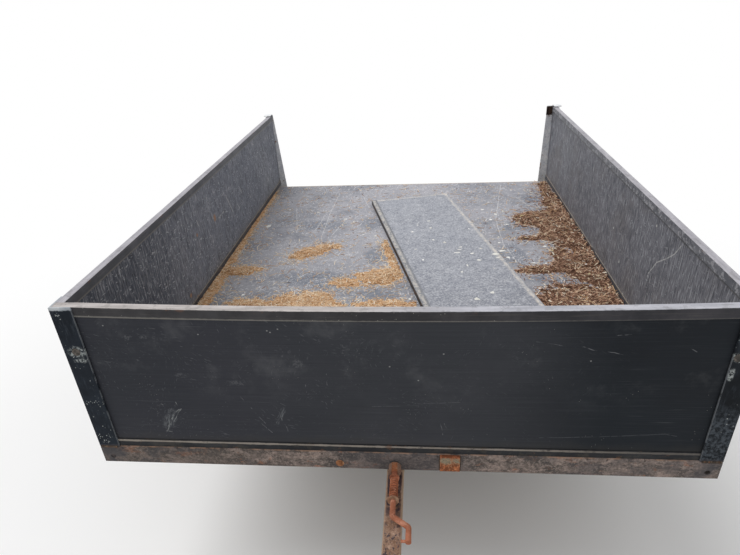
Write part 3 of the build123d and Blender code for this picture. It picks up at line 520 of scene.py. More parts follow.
def foot_steel():
    """The black channel below the boards, with a painted highlight: a light tan line along its top edge."""
    p = Paint("foot_steel", 0.5, 0.1)
    cloud = p.noise(11, 5, 0.65)
    inner = p.mix((cloud, 0.35, 0.7), "4b4c51", "616166")
    # painted highlight: a light tan line along the top edge of the front channel, fading to the right, and of the
    # side channels
    line = p.near(p.z, FOOT_TOP - 0.0062, 0.0042, 1.0, 20)
    line = p.times(line, p.between((p.x, 0.25, 0.8), 1.0, 0.36))
    side_line = p.near(p.z, high("side_foot_channel_left").z, 0.0042, 0.7, 36)
    on_front = p.step(p.y, FLOOR_FRONT + 0.002, FLOOR_FRONT - 0.002)
    line = p.times(p.mix(on_front, side_line, line), (p.noise(18, 4, 0.7), 0.28, 0.46))
    base = p.layers(p.mix(p.inside(), p.mix((cloud, 0.35, 0.7), "28292c", "38393b"), inner),
        ("4b4640", p.patches(20, 0.4, 0.1), 0.45),  # dirt
        ("aaa197", line, 0.7),
        ("6b4c3a", p.patches(34, 0.05), 0.5))  # rust
    p.done(base, (p.noise(50, 4), 0.15, 0.001))


def spring_paint():
    """Old black paint on springs, axle and hangers, with dust and rust coming through."""
    p = Paint("spring_paint", 0.6, 0.2)
    base = p.layers(p.mix((p.noise(9, 5), 0.35, 0.7), "26282b", "3a3c3f"),
        ("6a452f", p.patches(17, 0.35), 0.85),
        ("8a5c3e", p.patches(42, 0.25), 0.7),
        ("8c7c68", p.faces("Z", 1, 0.2, 0.8), (p.noise(12, 5), 0.3, 0.6), 0.6))  # dust
    p.done(base, (p.noise(70, 5, 0.7), 0.3, 0.001))


def rust(name, dark, middle, light, spot, scale, paint=None):
    """Layers of rust, with paint left on it in patches."""
    p = Paint(name, 0.8, 0.2)
    broad = p.noise(6 * scale, 6, 0.65)
    fine = p.noise(75 * scale, 6, 0.75)
    base = p.layers(p.mix((broad, 0.36, 0.66), dark, middle),
        (light, p.patches(13 * scale, 0.45, 0.14, 6, 0.7), 0.8),
        (dark, (fine, 0.5, 0.7), 0.6),
        (light, (p.noise(38 * scale, 5, 0.7), 0.56, 0.68), 0.6),
        (spot, p.patches(21 * scale, 0.12, 0.08), 0.8))
    if paint:
        base = p.layers(base, (paint, p.patches(9 * scale, 0.5, 0.05, 7, 0.72, p.stretch(1, 1, 1.6)), 0.85))
    p.done(base, (p.most(fine, broad), 0.5, 0.0012), (fine, -1.2, 0.9))


def tongue_steel():
    """Pinkish rust with dark speckles of old paint, and tan worn edges."""
    p = Paint("tongue_rust", 0.8, 0.12)
    broad = p.noise(14, 6, 0.7)
    fine = p.noise(150, 6, 0.8)
    dark = p.patches(96, 0.43, 0.05, 5, 0.76, p.stretch(1.0, 0.7, 1.0))
    dark = p.times(dark, p.between((p.y, -0.84, -0.9), 0.4, 0.95))
    base = p.layers(p.mix((broad, 0.36, 0.66), "84644f", "a98b78"),
        ("c3a48f", p.patches(34, 0.45, 0.1, 6, 0.75), 0.7),
        ("453e48", dark),
        ("5b473f", (fine, 0.5, 0.66), 0.5),
        ("d0b9aa", (fine, 0.48, 0.34), 0.5),
        ("9c5b3a", p.patches(18, 0.12, 0.06), 0.7),
        ("b39c86", p.near(p.math("ABSOLUTE", p.x), TONGUE_HALF, 0.0045, 0.9, 40), 0.6),  # edge
        ("36323f", (p.y, low("latch_ring").y - 0.05, low("latch_ring").y), (p.math("ABSOLUTE", p.x), 0.023, 0.018),
         p.patches(40, 0.8, 0.15), 0.85))
    p.done(base, (p.most(fine, broad), 0.45, 0.0012), (fine, -1.2, 0.9))


def collar_steel():
    """The latch's collar: orange below the rod's line, with a worn tan rim."""
    p = Paint("collar_rust", 0.8, 0.12)
    fine = p.noise(170, 6, 0.78)
    base = p.layers(p.mix((p.noise(40, 5, 0.7), 0.36, 0.66), "8e5a40", "b87651"),
        ("8a7264", (p.ragged(p.math("ABSOLUTE", p.x), 0.008, 60, 4), 0.011, 0.015), 0.85),  # rim
        ("ab8a72", (p.z, high("latch_collar").z - 0.006, high("latch_collar").z - 0.001), p.patches(90, 0.5, 0.1),
         0.55),
        ("5c3c2d", (fine, 0.5, 0.68), 0.6))
    p.done(base, (fine, 0.5, 0.001), (fine, -1.2, 0.9))


def rail_steel():
    """Paint and rust on the rails: grey near the tongue, pinkish tan to the right, black at the ends."""
    p = Paint("rail_steel", 0.75, 0.12)
    along = p.stretch(0.7, 0.7, 1.2)
    broad = p.noise(11, 6, 0.74, along)
    fine = p.noise(120, 6, 0.8)
    middle = p.times(p.patches(6, 0.36, 0.08, 7, 0.72, along), 0.5)
    at_tongue = p.times((p.math("ABSOLUTE", p.math("SUBTRACT", p.x, 0.03)), 0.26, 0.08), 0.62)
    base = p.layers(p.mix((broad, 0.4, 0.62), "5a5451", "8b7d76"),
        ("a8968d", p.patches(21, 0.46, 0.06, 7, 0.76, along), 0.55),
        ("9c6d56", p.patches(24, 0.22, 0.04, 7, 0.76, p.vector("ADD", along, (3.1, 0.0, 1.7))), 0.7),  # light rust
        ("4a4644", p.patches(30, 0.42, 0.04, 7, 0.78, p.vector("ADD", along, (0.0, 2.2, 5.3))), 0.65),
        ("3f3936", (fine, 0.5, 0.66), 0.5),
        ("c3b3a9", (fine, 0.5, 0.34), 0.45),
        ("4b4743", (p.x, -0.3, -0.6), 0.4),
        ("4a4a4e", p.most(p.times((p.x, -0.6, -0.84), p.patches(16, 0.85, 0.2), 0.8),  # both ends
         p.times((p.x, 0.8, 0.9), p.patches(16, 0.85, 0.2), 0.75), middle, at_tongue)),
        ("3a2f2c", (p.cells(64), 0.26, 0.14), (p.z, RAIL_TOP - 0.03, RAIL_TOP - 0.01), p.patches(5, 0.6, 0.1), 0.7),
        ("a68670", p.near(p.z, RAIL_TOP, 0.0024, 0.8, 30), (p.noise(9, 4, 0.7), 0.46, 0.58), 0.7),  # top edge
        ("8d7560", p.near(p.z, RAIL_LOW, 0.004, 0.7, 30), (p.x, 0.1, -0.3), 0.5))  # lower edge
    p.done(base, (p.most(fine, broad), 0.4, 0.001), (fine, -1.2, 0.9))


def plate_steel():
    """The square plate on the rail: grey-green above, orange-red below, brown along its top."""
    p = Paint("plate_rust", 0.8, 0.12)
    fine = p.noise(260, 6, 0.78)
    place = p.math("DIVIDE", p.math("SUBTRACT", p.z, low("patch_plate").z),
        high("patch_plate").z - low("patch_plate").z)
    base = p.layers(p.mix(p.patches(60, 0.5, 0.06, 6, 0.76), "8b8471", "a5765a"),
        (p.mix(p.patches(85, 0.5, 0.05, 6, 0.76), "7a4730", "b9714c"),  # lower part
         (p.ragged(place, 0.9, 42, 5, 0.75), 1.02, 0.82)),
        ("54372a", (fine, 0.5, 0.68), 0.6),
        ("d4ab85", (fine, 0.5, 0.34), 0.5),
        (p.mix(p.patches(60, 0.5), "7c4a33", "a9694a"), (p.ragged(place, 0.16, 70, 4, 0.7), 0.93, 0.99)))  # crest
    p.done(base, (fine, 0.5, 0.001), (fine, -1.2, 0.9))


def rubber():
    """Tyres: dusty, most of all on the tread."""
    p = Paint("tyre_rubber", 0.85, 0.2)
    base = p.layers(p.mix((p.noise(9, 5), 0.35, 0.7), "28282a", "3b3a39"),
        ("675f54", p.patches(5, 0.55, 0.2), 0.55),  # dust
        ("7b7062", (p.from_axle(), 0.282, 0.296), p.patches(11, 0.7, 0.2), 0.5))  # tread
    p.done(base, (p.noise(140, 3), 0.2, 0.0008))


def rim_paint():
    """Off-white paint on the wheels, rusting at its edges."""
    p = Paint("rim_paint", 0.5, 0.3)
    radius = p.from_axle()
    base = p.layers(p.mix((p.noise(7, 5), 0.35, 0.7), "b9b5ab", "cfccc3"),
        ("7a4c31", p.patches(13, 0.3, 0.06), 0.85),
        ("955f3e", p.patches(36, 0.25, 0.06), 0.7),
        ("6b4530", p.most(p.near(radius, 0.178, 0.004, 0.7, 30),
                          p.near(radius, 0.112, 0.005, 0.7, 26)), 0.75),  # edge
        ("8f8271", p.patches(6, 0.5, 0.2), 0.4))  # dust
    p.done(base, (p.noise(70, 5, 0.7), 0.2, 0.001))


def worn_strip():
    """Rear angles: bare speckled grey inside with rust coming through, black outside."""
    p = Paint("worn_strip", 0.5, 0.25)
    patches = p.noise(22, 6, 0.75)
    bare = p.mix((patches, 0.38, 0.62), "dde2e8", "fafbfc")
    black = p.layers(p.mix((p.noise(14, 5), 0.35, 0.7), "26292d", "3a3e43"), ("7b5a45", p.patches(30, 0.2), 0.8))
    bare = p.layers(bare,
        ("ffffff", (p.noise(130, 4, 0.8), 0.5, 0.66), 0.7),
        ("8b929b", (p.noise(90, 4, 0.8), 0.48, 0.34), 0.6),
        ("94694d", p.patches(26, 0.12, 0.06), 0.8))
    black = p.mix(p.most(p.faces("Y", -1), p.faces("Z", 1)), black, bare)
    p.done(black, (patches, 0.2, 0.001))


def bits(name, dark, middle, light, rare):
    """Loose bits, each with a tone of its own."""
    p = Paint(name, 0.9, 0.15)
    island = p.node("NewGeometry", out="Random Per Island")
    base = p.layers(p.mix((island, 0.0, 0.45), dark, middle),
        (light, (island, 0.45, 0.85)),
        (rare, (island, 0.94, 0.96)),
        (dark, (p.noise(160, 3), 0.45, 0.7), 0.3))
    p.done(base)


def heap_dust(name, dark, middle, light):
    """The fine litter below the loose bits."""
    p = Paint(name, 0.95, 0.05)
    base = p.layers(p.mix((p.noise(60, 6, 0.75), 0.35, 0.6), dark, middle),
        (light, (p.cells(150), 0.45, 0.25), (p.noise(35, 4), 0.4, 0.6)),
        (dark, (p.noise(210, 4, 0.7), 0.5, 0.7), 0.7))
    p.done(base, (p.noise(170, 5, 0.75), 0.9, 0.004))


for build in (front_board, side_board, floor_board, gate_board, gate_channel, cap_steel, post_steel, foot_steel,
              worn_strip, rail_steel, spring_paint, tongue_steel, collar_steel, plate_steel, rubber, rim_paint):
    build()
for row in (("under_steel", "3b3430", "574a42", "6d594a", "7d4c2c", 1.0, "2f3237"),
            ("latch_rust", "8e5943", "b9765b", "cd957c", "7c4634", 3.0),
            ("coil_rust", "93553d", "c07856", "d49a7c", "74412b", 3.0),
            ("ring_rust", "86644f", "b08b70", "c8a78d", "8a5a3c", 5.0),
            # the keeper's colours are dark rust, painted darker still as painted shade
            ("keeper_rust_and_shade", "2e2724", "40342e", "5a463c", "6b4432", 4.0),
            ("hub_iron", "322d29", "4a413a", "655344", "6b4023", 2.5),
            ("head_rust", "7a4f36", "a87450", "c79a72", "8a4a2a", 5.0),
            ("bolt_steel", "3a3836", "58534e", "77706a", "7d4c2c", 6.0),
            ("weld_steel", "3c3530", "5c4f45", "7b6a5b", "7d4c2c", 5.0)):
    rust(*row)
for row in (("chaff_bits", "c3976f", "eccaa2", "f9e8cc", "fdf8ec"),
            ("mulch_bits", "553c31", "9d7763", "d6b296", "f2e5d0"),
            ("pale_bits", "bca482", "dccab0", "f2ead9", "c8ba8a"),
            ("white_flecks", "e6e4dc", "f2f1ec", "fbfaf7", "d8cfbe")):
    bits(*row)
heap_dust("chaff_dust", "9e744f", "ddb187", "f8e0be")
heap_dust("mulch_dust", "45322a", "785a49", "a5876e")

# Each material's nodes, without their side; all others are under_steel
SURFACE = {
    "front_board": "front_panel", "side_board": "side_panel", "floor_board": "floor", "gate_board": "tailgate_panel",
    "gate_channel": "tailgate_channel", "cap_steel": "front_cap side_cap", "post_steel": "front_post",
    "foot_steel": "front_foot_channel side_foot_channel", "worn_strip": "rear_post",
    "rail_steel": "front_rail side_rail rear_rail", "plate_rust": "patch_plate", "keeper_rust_and_shade": "gate_keeper",
    "tongue_rust": "tongue hitch_clevis", "latch_rust": "latch_bolt", "collar_rust": "latch_collar",
    "ring_rust": "latch_ring", "coil_rust": "latch_spring", "tyre_rubber": "tyre", "rim_paint": "wheel_rim",
    "hub_iron": "hub", "spring_paint": "axle leaf_spring spring_clamp spring_hanger_front spring_hanger_rear",
}
for name, node in nodes.items():
    stem = name.removesuffix("_left").removesuffix("_right")
    material = next((key for key, stems in SURFACE.items() if stem in stems.split()), "under_steel")
    node.data.materials.clear()
    node.data.materials.append(MATERIALS[material])


class Shape:
    """Closed shapes gathered into one piece."""

    def __init__(self):
        self.points = []
        self.faces = []

    def skin(self, rings):
        """Faces between rings of points; a ring of one point is a tip, an end ring is closed flat."""
        starts = []
        for ring in rings:
            starts.append(len(self.points))
            self.points.extend(tuple(point) for point in ring)
        for a, b, ring_a, ring_b in zip(starts, starts[1:], rings, rings[1:]):
            count = max(len(ring_a), len(ring_b))
            for i in range(count):
                j = (i + 1) % count
                if len(ring_a) == 1:
                    self.faces.append((a, b + i, b + j))
                elif len(ring_b) == 1:
                    self.faces.append((a + i, a + j, b))
                else:
                    self.faces.append((a + i, a + j, b + j, b + i))
        for start, ring in ((starts[0], rings[0]), (starts[-1], rings[-1])):
            if len(ring) > 1:
                self.faces.append(tuple(range(start, start + len(ring))))

    def turned(self, profile, centre, axis, sides):
        """A profile of places along an axis and radii, turned about it."""
        axis = Vector(axis).normalized()
        side = axis.orthogonal().normalized()
        up = axis.cross(side)
        turns = [math.tau * i / sides for i in range(sides)]
        rings = []
        for along, radius in profile:
            middle = Vector(centre) + axis * along
            if radius:
                rings.append([middle + (side * math.cos(t) + up * math.sin(t)) * radius for t in turns])
            else:
                rings.append([middle])
        self.skin(rings)

    def dome(self, centre, axis, radius, height):
        self.turned([(-0.001, radius), (height * 0.2, radius), (height * 0.55, radius * 0.86),
                     (height * 0.85, radius * 0.55), (height, 0)], centre, axis, 24)

    def nut(self, centre, axis, width, height, stud=0.0, tail=0.0):
        """A hexagon on a washer, with the end of its bolt where there is one."""
        radius = width / math.sqrt(3)
        washer = width * 0.12
        self.turned([(-0.001, width * 0.72), (washer * 0.8, width * 0.72), (washer, width * 0.66)], centre, axis, 24)
        self.turned([(washer * 0.5, radius), (washer + height * 0.82, radius), (washer + height, radius * 0.84)],
                    centre, axis, 6)
        if stud:
            self.turned([(washer, stud), (washer + height + tail * 0.8, stud), (washer + height + tail, stud * 0.75)],
                        centre, axis, 14)

    def pin_ends(self, middle, half, sign=1):
        """A bolt's head at one end of a pin across the wagon and its nut at the other."""
        reach = Vector((sign * half, 0, 0))
        self.nut(middle + reach, (sign, 0, 0), 0.021, 0.008)
        self.nut(middle - reach, (-sign, 0, 0), 0.021, 0.010, 0.007, 0.005)

    def bead(self, path, up, radius=0.0032, sign=1):
        """A rippled weld along a path; the sign -1 puts it on the wagon's other side."""
        path = [Vector((sign * x, y, z)) for x, y, z in path]
        up = Vector((sign * up[0], up[1], up[2]))
        places = []
        for a, b in zip(path, path[1:]):
            count = max(2, round((b - a).length / (radius * 0.62)))
            places.extend(a.lerp(b, i / count) for i in range(count))
        places.append(path[-1])
        rings = [[places[0]]]
        for i in range(1, len(places) - 1):
            run = (places[i + 1] - places[i - 1]).normalized()
            side = run.cross(up).normalized()
            over = side.cross(run)
            size = radius * (0.82 + 0.22 * abs(math.sin(i * 0.9))) * random.uniform(0.94, 1.06)
            rings.append([places[i] + (side * math.cos(t) + over * math.sin(t)) * size
                          for t in (math.tau * k / 7 for k in range(7))])
        rings.append([places[-1]])
        self.skin(rings)

    def build(self, name, material, body, sharp=32.0):
        mesh = bpy.data.meshes.new(name)
        mesh.from_pydata(self.points, [], self.faces)
        tidy = bmesh.new()
        tidy.from_mesh(mesh)
        bmesh.ops.recalc_face_normals(tidy, faces=tidy.faces)
        tidy.to_mesh(mesh)
        tidy.free()
        return finish_piece(mesh, name, material, body, sharp)


def add_object(name, data):
    thing = bpy.data.objects.new(name, data)
    bpy.context.scene.collection.objects.link(thing)
    return thing


def finish_piece(mesh, name, material, body, sharp):
    mesh.shade_smooth()
    mesh.set_sharp_from_angle(angle=math.radians(sharp))
    mesh.materials.append(MATERIALS[material])
    thing = add_object(name, mesh)
    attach(thing, body)
    return thing


# The latch's coil as a piece of its own on the undercarriage; the real coil closes up on the ring as the bolt is
# drawn
coil = add_object("latch_coil", nodes["latch_spring"].data.copy())
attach(coil, "undercarriage")
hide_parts("latch_spring")
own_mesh(coil)

# Bolts of the posts
post_bolts = Shape()
BOLT_HEIGHTS = (1.029, 0.80)
BOLT_HEAD = (0.0125, 0.005)
for x in (-0.904, 0.890):
    post_bolts.dome((x, FRONT, BOLT_HEIGHTS[0]), (0, -1, 0), *BOLT_HEAD)
    post_bolts.nut((x, BOARD_BACK, BOLT_HEIGHTS[0]), (0, 1, 0), 0.013, 0.006, 0.004, 0.003)
for side, sign in SIDES:
    for z in BOLT_HEIGHTS:
        post_bolts.dome((sign * POST_OUT, FRONT + 0.034, z), (sign, 0, 0), *BOLT_HEAD)
post_bolts.build("post_bolts", "bolt_steel", "bed")

# The rusty head on the front rail, left of the latch, on its washer
rail_head = Shape()
for out, radius, height in ((0, 0.0130, 0.0022), (0.0012, 0.0088, 0.0056)):
    rail_head.dome((-0.1707, FRONT - out, 0.616), (0, -1, 0), radius, height)
rail_head.build("rail_head", "head_rust", "bed")

# Bolts of the springs and the stand
frame_bolts = Shape()
CLAMP_UNDER, CLAMP_EDGE = 0.2695, 0.010
for side, sign in SIDES:
    for end in ("front", "rear"):
        hanger_low, hanger_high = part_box(f"spring_hanger_{end}_{side}")
        eye = (hanger_low + hanger_high) / 2
        eye.z = hanger_low.z + 0.020
        frame_bolts.pin_ends(eye, (hanger_high.x - hanger_low.x) / 2, sign)
    clamp_low, clamp_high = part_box(f"spring_clamp_{side}")
    for x in (clamp_low.x + CLAMP_EDGE, clamp_high.x - CLAMP_EDGE):
        for y in (clamp_low.y + CLAMP_EDGE, clamp_high.y - CLAMP_EDGE):
            frame_bolts.nut((x, y, CLAMP_UNDER), (0, 0, -1), 0.017, 0.008)
stand_low, stand_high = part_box("stand_bracket")
stand_pin = Vector((0, (stand_low.y + stand_high.y) / 2, stand_low.z + 0.019))
frame_bolts.pin_ends(stand_pin, stand_high.x)
frame_bolts.build("frame_bolts", "bolt_steel", "undercarriage")

# Welds of the bed
bed_welds = Shape()
plate_low, plate_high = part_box("patch_plate")
bed_welds.bead([(x, FRONT - 0.001, z) for x, z in (
    (plate_low.x, RAIL_TOP - 0.002), (plate_low.x, plate_low.z),
    (plate_high.x, plate_low.z), (plate_high.x, RAIL_TOP - 0.002))], (0, -1, 0), 0.0034)
for side, sign in SIDES:
    bed_welds.bead([(x, FRONT - 0.0005, RAIL_TOP) for x in (POST_IN + 0.004, POST_OUT - 0.002)],
                   (0, -1, 0), 0.004, sign)
    for y, facing in ((high("front_rail").y, 1), (low("rear_rail").y, -1)):
        bed_welds.bead([(MEMBER_END, y, z) for z in (RAIL_LOW + 0.004, RAIL_TOP - 0.002)], (0, facing, 0), sign=sign)
    for member in ("cross_member_front", "cross_member_middle", "tilt_member"):
        front, back = low(member).y, high(member).y
        bed_welds.bead([(MEMBER_END, y, z) for y, z in (
            (front, RAIL_TOP - 0.002), (front, MEMBER_LOW), (back, MEMBER_LOW), (back, RAIL_TOP - 0.002))],
            (1, 0, 0), sign=sign)
    lug_low, lug_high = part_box(f"tilt_lug_{side}")
    for x in (lug_low.x, lug_high.x):
        bed_welds.bead([(x, y, MEMBER_LOW) for y in (lug_low.y + 0.003, lug_high.y - 0.003)], (0, 0, 1), 0.0028)
    bed_welds.bead([(high("side_rail_right").x + 0.0005, low(f"rear_post_{side}").y, z)
                    for z in (RAIL_LOW + 0.003, RAIL_TOP - 0.003)], (1, 0, 0), sign=sign)
bed_welds.build("bed_welds", "weld_steel", "bed", 50)

# Welds of the undercarriage
frame_welds = Shape()
for guide, half in (("latch_collar", 0.012), ("latch_ring", 0.007)):
    guide_low, guide_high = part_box(guide)
    for y in (guide_low.y, guide_high.y):
        frame_welds.bead([(x, y, TONGUE_TOP) for x in (-half, half)], (0, 0, 1), 0.0026)
    for x in (-half, half):
        frame_welds.bead([(x, y, TONGUE_TOP) for y in (guide_low.y, guide_high.y)], (0, 0, 1), 0.0026)
frame_welds.bead([(x * TONGUE_HALF, TONGUE_TIP, z) for x, z in (
    (-1, TONGUE_LOW), (1, TONGUE_LOW), (1, TONGUE_TOP - 0.001), (-1, TONGUE_TOP - 0.001), (-1, TONGUE_LOW))],
    (0, 1, 0), 0.0038)
brace_low, brace_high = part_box("brace_right")
tube_low, tube_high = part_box("pivot_cross_tube")
for side, sign in SIDES:
    for y, x in ((brace_low.y + 0.001, TONGUE_HALF), (brace_high.y - 0.002, brace_high.x)):
        frame_welds.bead([(x, y, z) for z in (TONGUE_LOW + 0.004, TONGUE_TOP - 0.004)], (1, 0, 0), 0.0036, sign)
    for upright, end in ((TONGUE_HALF, 0), (low("frame_rail_right").x, tube_high.x - 0.002)):
        frame_welds.bead([(x, tube_low.y, z) for x, z in (
            (upright, TONGUE_TOP - 0.005), (upright, TONGUE_LOW), (end, TONGUE_LOW - 0.0005))],
            (0, -1, 0), 0.0036, sign)
    cheek_low, cheek_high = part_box(f"pivot_cheeks_{side}")
    for x in (cheek_low.x, cheek_high.x):
        frame_welds.bead([(x, tube_high.y, z) for z in (cheek_low.z + 0.002, cheek_high.z - 0.002)], (0, 1, 0), 0.003)
    for end in ("front", "rear"):
        hanger_low, hanger_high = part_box(f"spring_hanger_{end}_{side}")
        for x in (low(f"frame_rail_{side}").x, high(f"frame_rail_{side}").x):
            frame_welds.bead([(x, y, TONGUE_LOW) for y in (hanger_low.y + 0.003, hanger_high.y - 0.003)],
                             (0, 0, 1), 0.003)
    frame_welds.bead([(stand_high.x, y, TONGUE_LOW) for y in (stand_low.y + 0.003, stand_high.y - 0.003)],
                     (0, 0, 1), 0.0034, sign)
frame_welds.build("frame_welds", "weld_steel", "undercarriage", 50)

foot_weld = Shape()
FOOT_PLATE, LEG_HALF = 0.006, 0.019
foot_weld.bead([(x * LEG_HALF, stand_pin.y + y * LEG_HALF, FOOT_PLATE)
                for x, y in ((-1, -1), (1, -1), (1, 1), (-1, 1), (-1, -1))], (0, 0, 1), 0.0034)
foot_weld.build("foot_weld", "weld_steel", "stand", 50)

# Wheels: nuts, welds of the disc and valve; the disc faces outwards from the wheel's middle plane
CAP_SEAM, CAP_RADIUS = 0.0115, 0.0300
NUT_CIRCLE, NUT_FACE = 0.053, 0.0100
WELD_CIRCLE, WELD_FACE = 0.1472, 0.0212
VALVE_CIRCLE, VALVE_FACE = 0.1445, 0.030
for side, sign in SIDES:
    body = f"wheel_{side}"
    out = Vector((sign, 0, 0))
    middle = Vector((sign * WHEEL_X, WHEEL_Y, WHEEL_Z))
    fixings = Shape()
    for k in range(5):
        turn = math.tau * (k + 0.2) / 5
        place = middle + Vector((0, math.cos(turn), math.sin(turn))) * NUT_CIRCLE
        fixings.nut(place + out * NUT_FACE, out, 0.019, 0.014, 0.006, 0.007)
    fixings.turned([(CAP_SEAM, CAP_RADIUS), (CAP_SEAM + 0.001, 0.0318), (CAP_SEAM + 0.003, 0.0318),
                    (CAP_SEAM + 0.004, CAP_RADIUS)], middle, out, 40)
    fixings.build(f"wheel_nuts_{side}", "bolt_steel", body)
    disc_welds = Shape()
    for k in range(6):
        disc_welds.bead([middle + out * WELD_FACE + Vector((0, math.cos(t), math.sin(t))) * WELD_CIRCLE
                         for t in (math.tau * k / 6 + 0.075 * i for i in range(7))], out, 0.0034)
    disc_welds.build(f"disc_welds_{side}", "rim_paint", body, 50)
    valve = Shape()
    slant = Vector((sign * 0.86, -0.36, -0.36)).normalized()
    root = middle + out * VALVE_FACE + Vector((0, 0.7071, 0.7071)) * VALVE_CIRCLE
    valve.turned([(-0.003, 0.0080), (0.004, 0.0080), (0.008, 0.0052), (0.024, 0.0044), (0.026, 0.0044)],
                 root, slant, 16)
    valve.turned([(0.024, 0.0050), (0.034, 0.0050), (0.036, 0.0040), (0.037, 0)], root, slant, 12)
    valve.build(f"valve_{side}", "tyre_rubber", body)


def arc_points(a, b, c, count):
    """Points on the circle through three points, from a by way of b to c."""
    (ax, ay), (bx, by), (cx, cy) = a, b, c
    d = 2 * (ax * (by - cy) + bx * (cy - ay) + cx * (ay - by))
    ux = ((ax * ax + ay * ay) * (by - cy) + (bx * bx + by * by) * (cy - ay) + (cx * cx + cy * cy) * (ay - by)) / d
    uy = ((ax * ax + ay * ay) * (cx - bx) + (bx * bx + by * by) * (ax - cx) + (cx * cx + cy * cy) * (bx - ax)) / d
    radius = math.hypot(ax - ux, ay - uy)
    start = math.atan2(ay - uy, ax - ux)
    way = (math.atan2(by - uy, bx - ux) - start) % math.tau
    sweep = (math.atan2(cy - uy, cx - ux) - start) % math.tau
    if way > sweep:
        sweep -= math.tau
    return [(ux + radius * math.cos(start + sweep * i / count), uy + radius * math.sin(start + sweep * i / count))
            for i in range(count + 1)]


TYRE_RADIUS = 0.300


def crown(x):
    """The tread's radius at a distance from the middle plane."""
    fall, half = 0.005, 0.0585
    big = (half * half + fall * fall) / (2 * fall)
    return TYRE_RADIUS - big + math.sqrt(big * big - x * x)


def treaded_tyre(side, sign):
    """The tyre with three zigzag grooves, notched shoulders and ridges on its walls."""
    groove_half, groove_deep, slope = 0.0036, 0.0070, 0.0008
    # Each column: x, radius, share of the zigzag and depth of the shoulder notch
    shoulder = [(0.0442, crown(0.0442), 0, 0), (0.0450, crown(0.045), 0, 0.0055), (0.0585, 0.295, 0, 0.0055),
                (0.0665, 0.288, 0, 0.002)]
    columns = [(-x, *rest) for x, *rest in reversed(shoulder)]
    for groove in (-0.027, 0.0, 0.027):
        for shift, deep in ((-groove_half, 0), (slope - groove_half, groove_deep),
                            (groove_half - slope, groove_deep), (groove_half, 0)):
            columns.append((groove + shift, crown(groove + shift) - deep, 1, 0))
        if groove < 0.02:
            columns.append((groove + 0.0135, crown(groove + 0.0135), 0, 0))
    columns += shoulder
    wall = []
    for i, (x, radius) in enumerate(arc_points((0.0665, 0.288), (0.0825, 0.233), (0.0700, 0.180), 12)[1:], 1):
        if i in (3, 8):
            wall += [(x, radius + 0.0024), (x - 0.0012, radius + 0.0020), (x - 0.0012, radius - 0.0020),
                     (x, radius - 0.0024)]
        else:
            wall.append((x, radius))
    wall += [(0.0700, 0.166), (0.0590, 0.166), *arc_points((0.0590, 0.180), (0.0715, 0.233), (0.0555, 0.277), 8)]
    columns += [(x, radius, 0, 0) for x, radius in wall] + [(-x, radius, 0, 0) for x, radius in reversed(wall)]
    repeats = 42
    tyre = Shape()
    for i in range(repeats):
        for part in (0.0, 0.16, 0.19, 0.42, 0.45, 0.62, 0.81):
            turn = math.tau * (i + part) / repeats
            zig = 0.0030 * (1 - 4 * abs(part - 0.5))
            for x, radius, zigzag, notch in columns:
                if part in (0.19, 0.42):
                    radius -= notch
                tyre.points.append((sign * (WHEEL_X + (x + zig * zigzag)), WHEEL_Y + radius * math.cos(turn),
                                    WHEEL_Z + radius * math.sin(turn)))
    wide = len(columns)
    turns = len(tyre.points) // wide
    tyre.faces = [(i * wide + j, i * wide + (j + 1) % wide,
                   ((i + 1) % turns) * wide + (j + 1) % wide, ((i + 1) % turns) * wide + j)
                  for i in range(turns) for j in range(wide)]
    piece = tyre.build(f"tyre_tread_{side}", "tyre_rubber", f"wheel_{side}", 28)
    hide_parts(f"tyre_{side}")


for side, sign in SIDES:
    treaded_tyre(side, sign)

# Chaff and mulch on the floor: each heap's middle, half sizes, turn from the Y axis and height
CHAFF = (
    (-0.895, 0.20, 0.40, 0.034, 0, 0.011), (-0.903, 0.62, 0.34, 0.022, 0, 0.009),
    (-0.907, 1.06, 0.34, 0.015, 0, 0.007), (-0.908, 1.42, 0.24, 0.013, 0, 0.005),
    (-0.815, 0.462, 0.095, 0.046, 90, 0.011), (-0.430, 0.085, 0.170, 0.165, 90, 0.021),
    (-0.640, 0.120, 0.150, 0.050, 104, 0.010), (-0.500, 0.665, 0.120, 0.052, 56, 0.013),
    (-0.390, 0.720, 0.060, 0.024, 70, 0.006), (-0.110, 0.385, 0.120, 0.072, 72, 0.014),
    (-0.058, 0.600, 0.230, 0.036, -14, 0.009), (-0.085, 0.130, 0.150, 0.045, 90, 0.009),
    (-0.270, 0.330, 0.090, 0.045, 90, 0.006), (-0.400, -0.570, 0.360, 0.050, 90, 0.010),
)
MULCH = (
    (0.885, 0.82, 0.84, 0.075, 0, 0.026), (0.795, 0.98, 0.28, 0.080, 6, 0.013),
    (0.710, 1.080, 0.130, 0.085, 62, 0.010), (0.690, 0.820, 0.120, 0.030, 80, 0.007),
    (0.800, 0.500, 0.170, 0.080, -12, 0.013), (0.660, 0.452, 0.130, 0.034, 84, 0.010),
    (0.790, 0.150, 0.240, 0.150, 90, 0.019), (0.850, -0.22, 0.36, 0.090, 0, 0.018),
    (0.880, 1.60, 0.14, 0.040, 0, 0.009),
)


def waves(count, shortest, longest):
    """Smooth seeded unevenness, about -1 to 1."""
    rows = [(rng.uniform(0, math.tau), math.tau / rng.uniform(shortest, longest), rng.uniform(0, math.tau))
            for _ in range(count)]

    def value(x, y):
        total = 0.0
        for heading, pace, phase in rows:
            total = total + np.sin((x * math.cos(heading) + y * math.sin(heading)) * pace + phase)
        return total / math.sqrt(count)

    return value


broad_waves = waves(14, 0.05, 0.22)
fine_waves = waves(18, 0.018, 0.05)


def gate_distance(x, y):
    """How far a place on the floor is outside the tailgate; negative below it."""
    along, across = ((x - GATE_CORNER.x) * way.x + (y - GATE_CORNER.y) * way.y for way in (GATE_ALONG, GATE_ACROSS))
    return np.maximum(np.maximum(-along, along - GATE_LENGTH), np.maximum(-across, across - GATE_WIDTH))


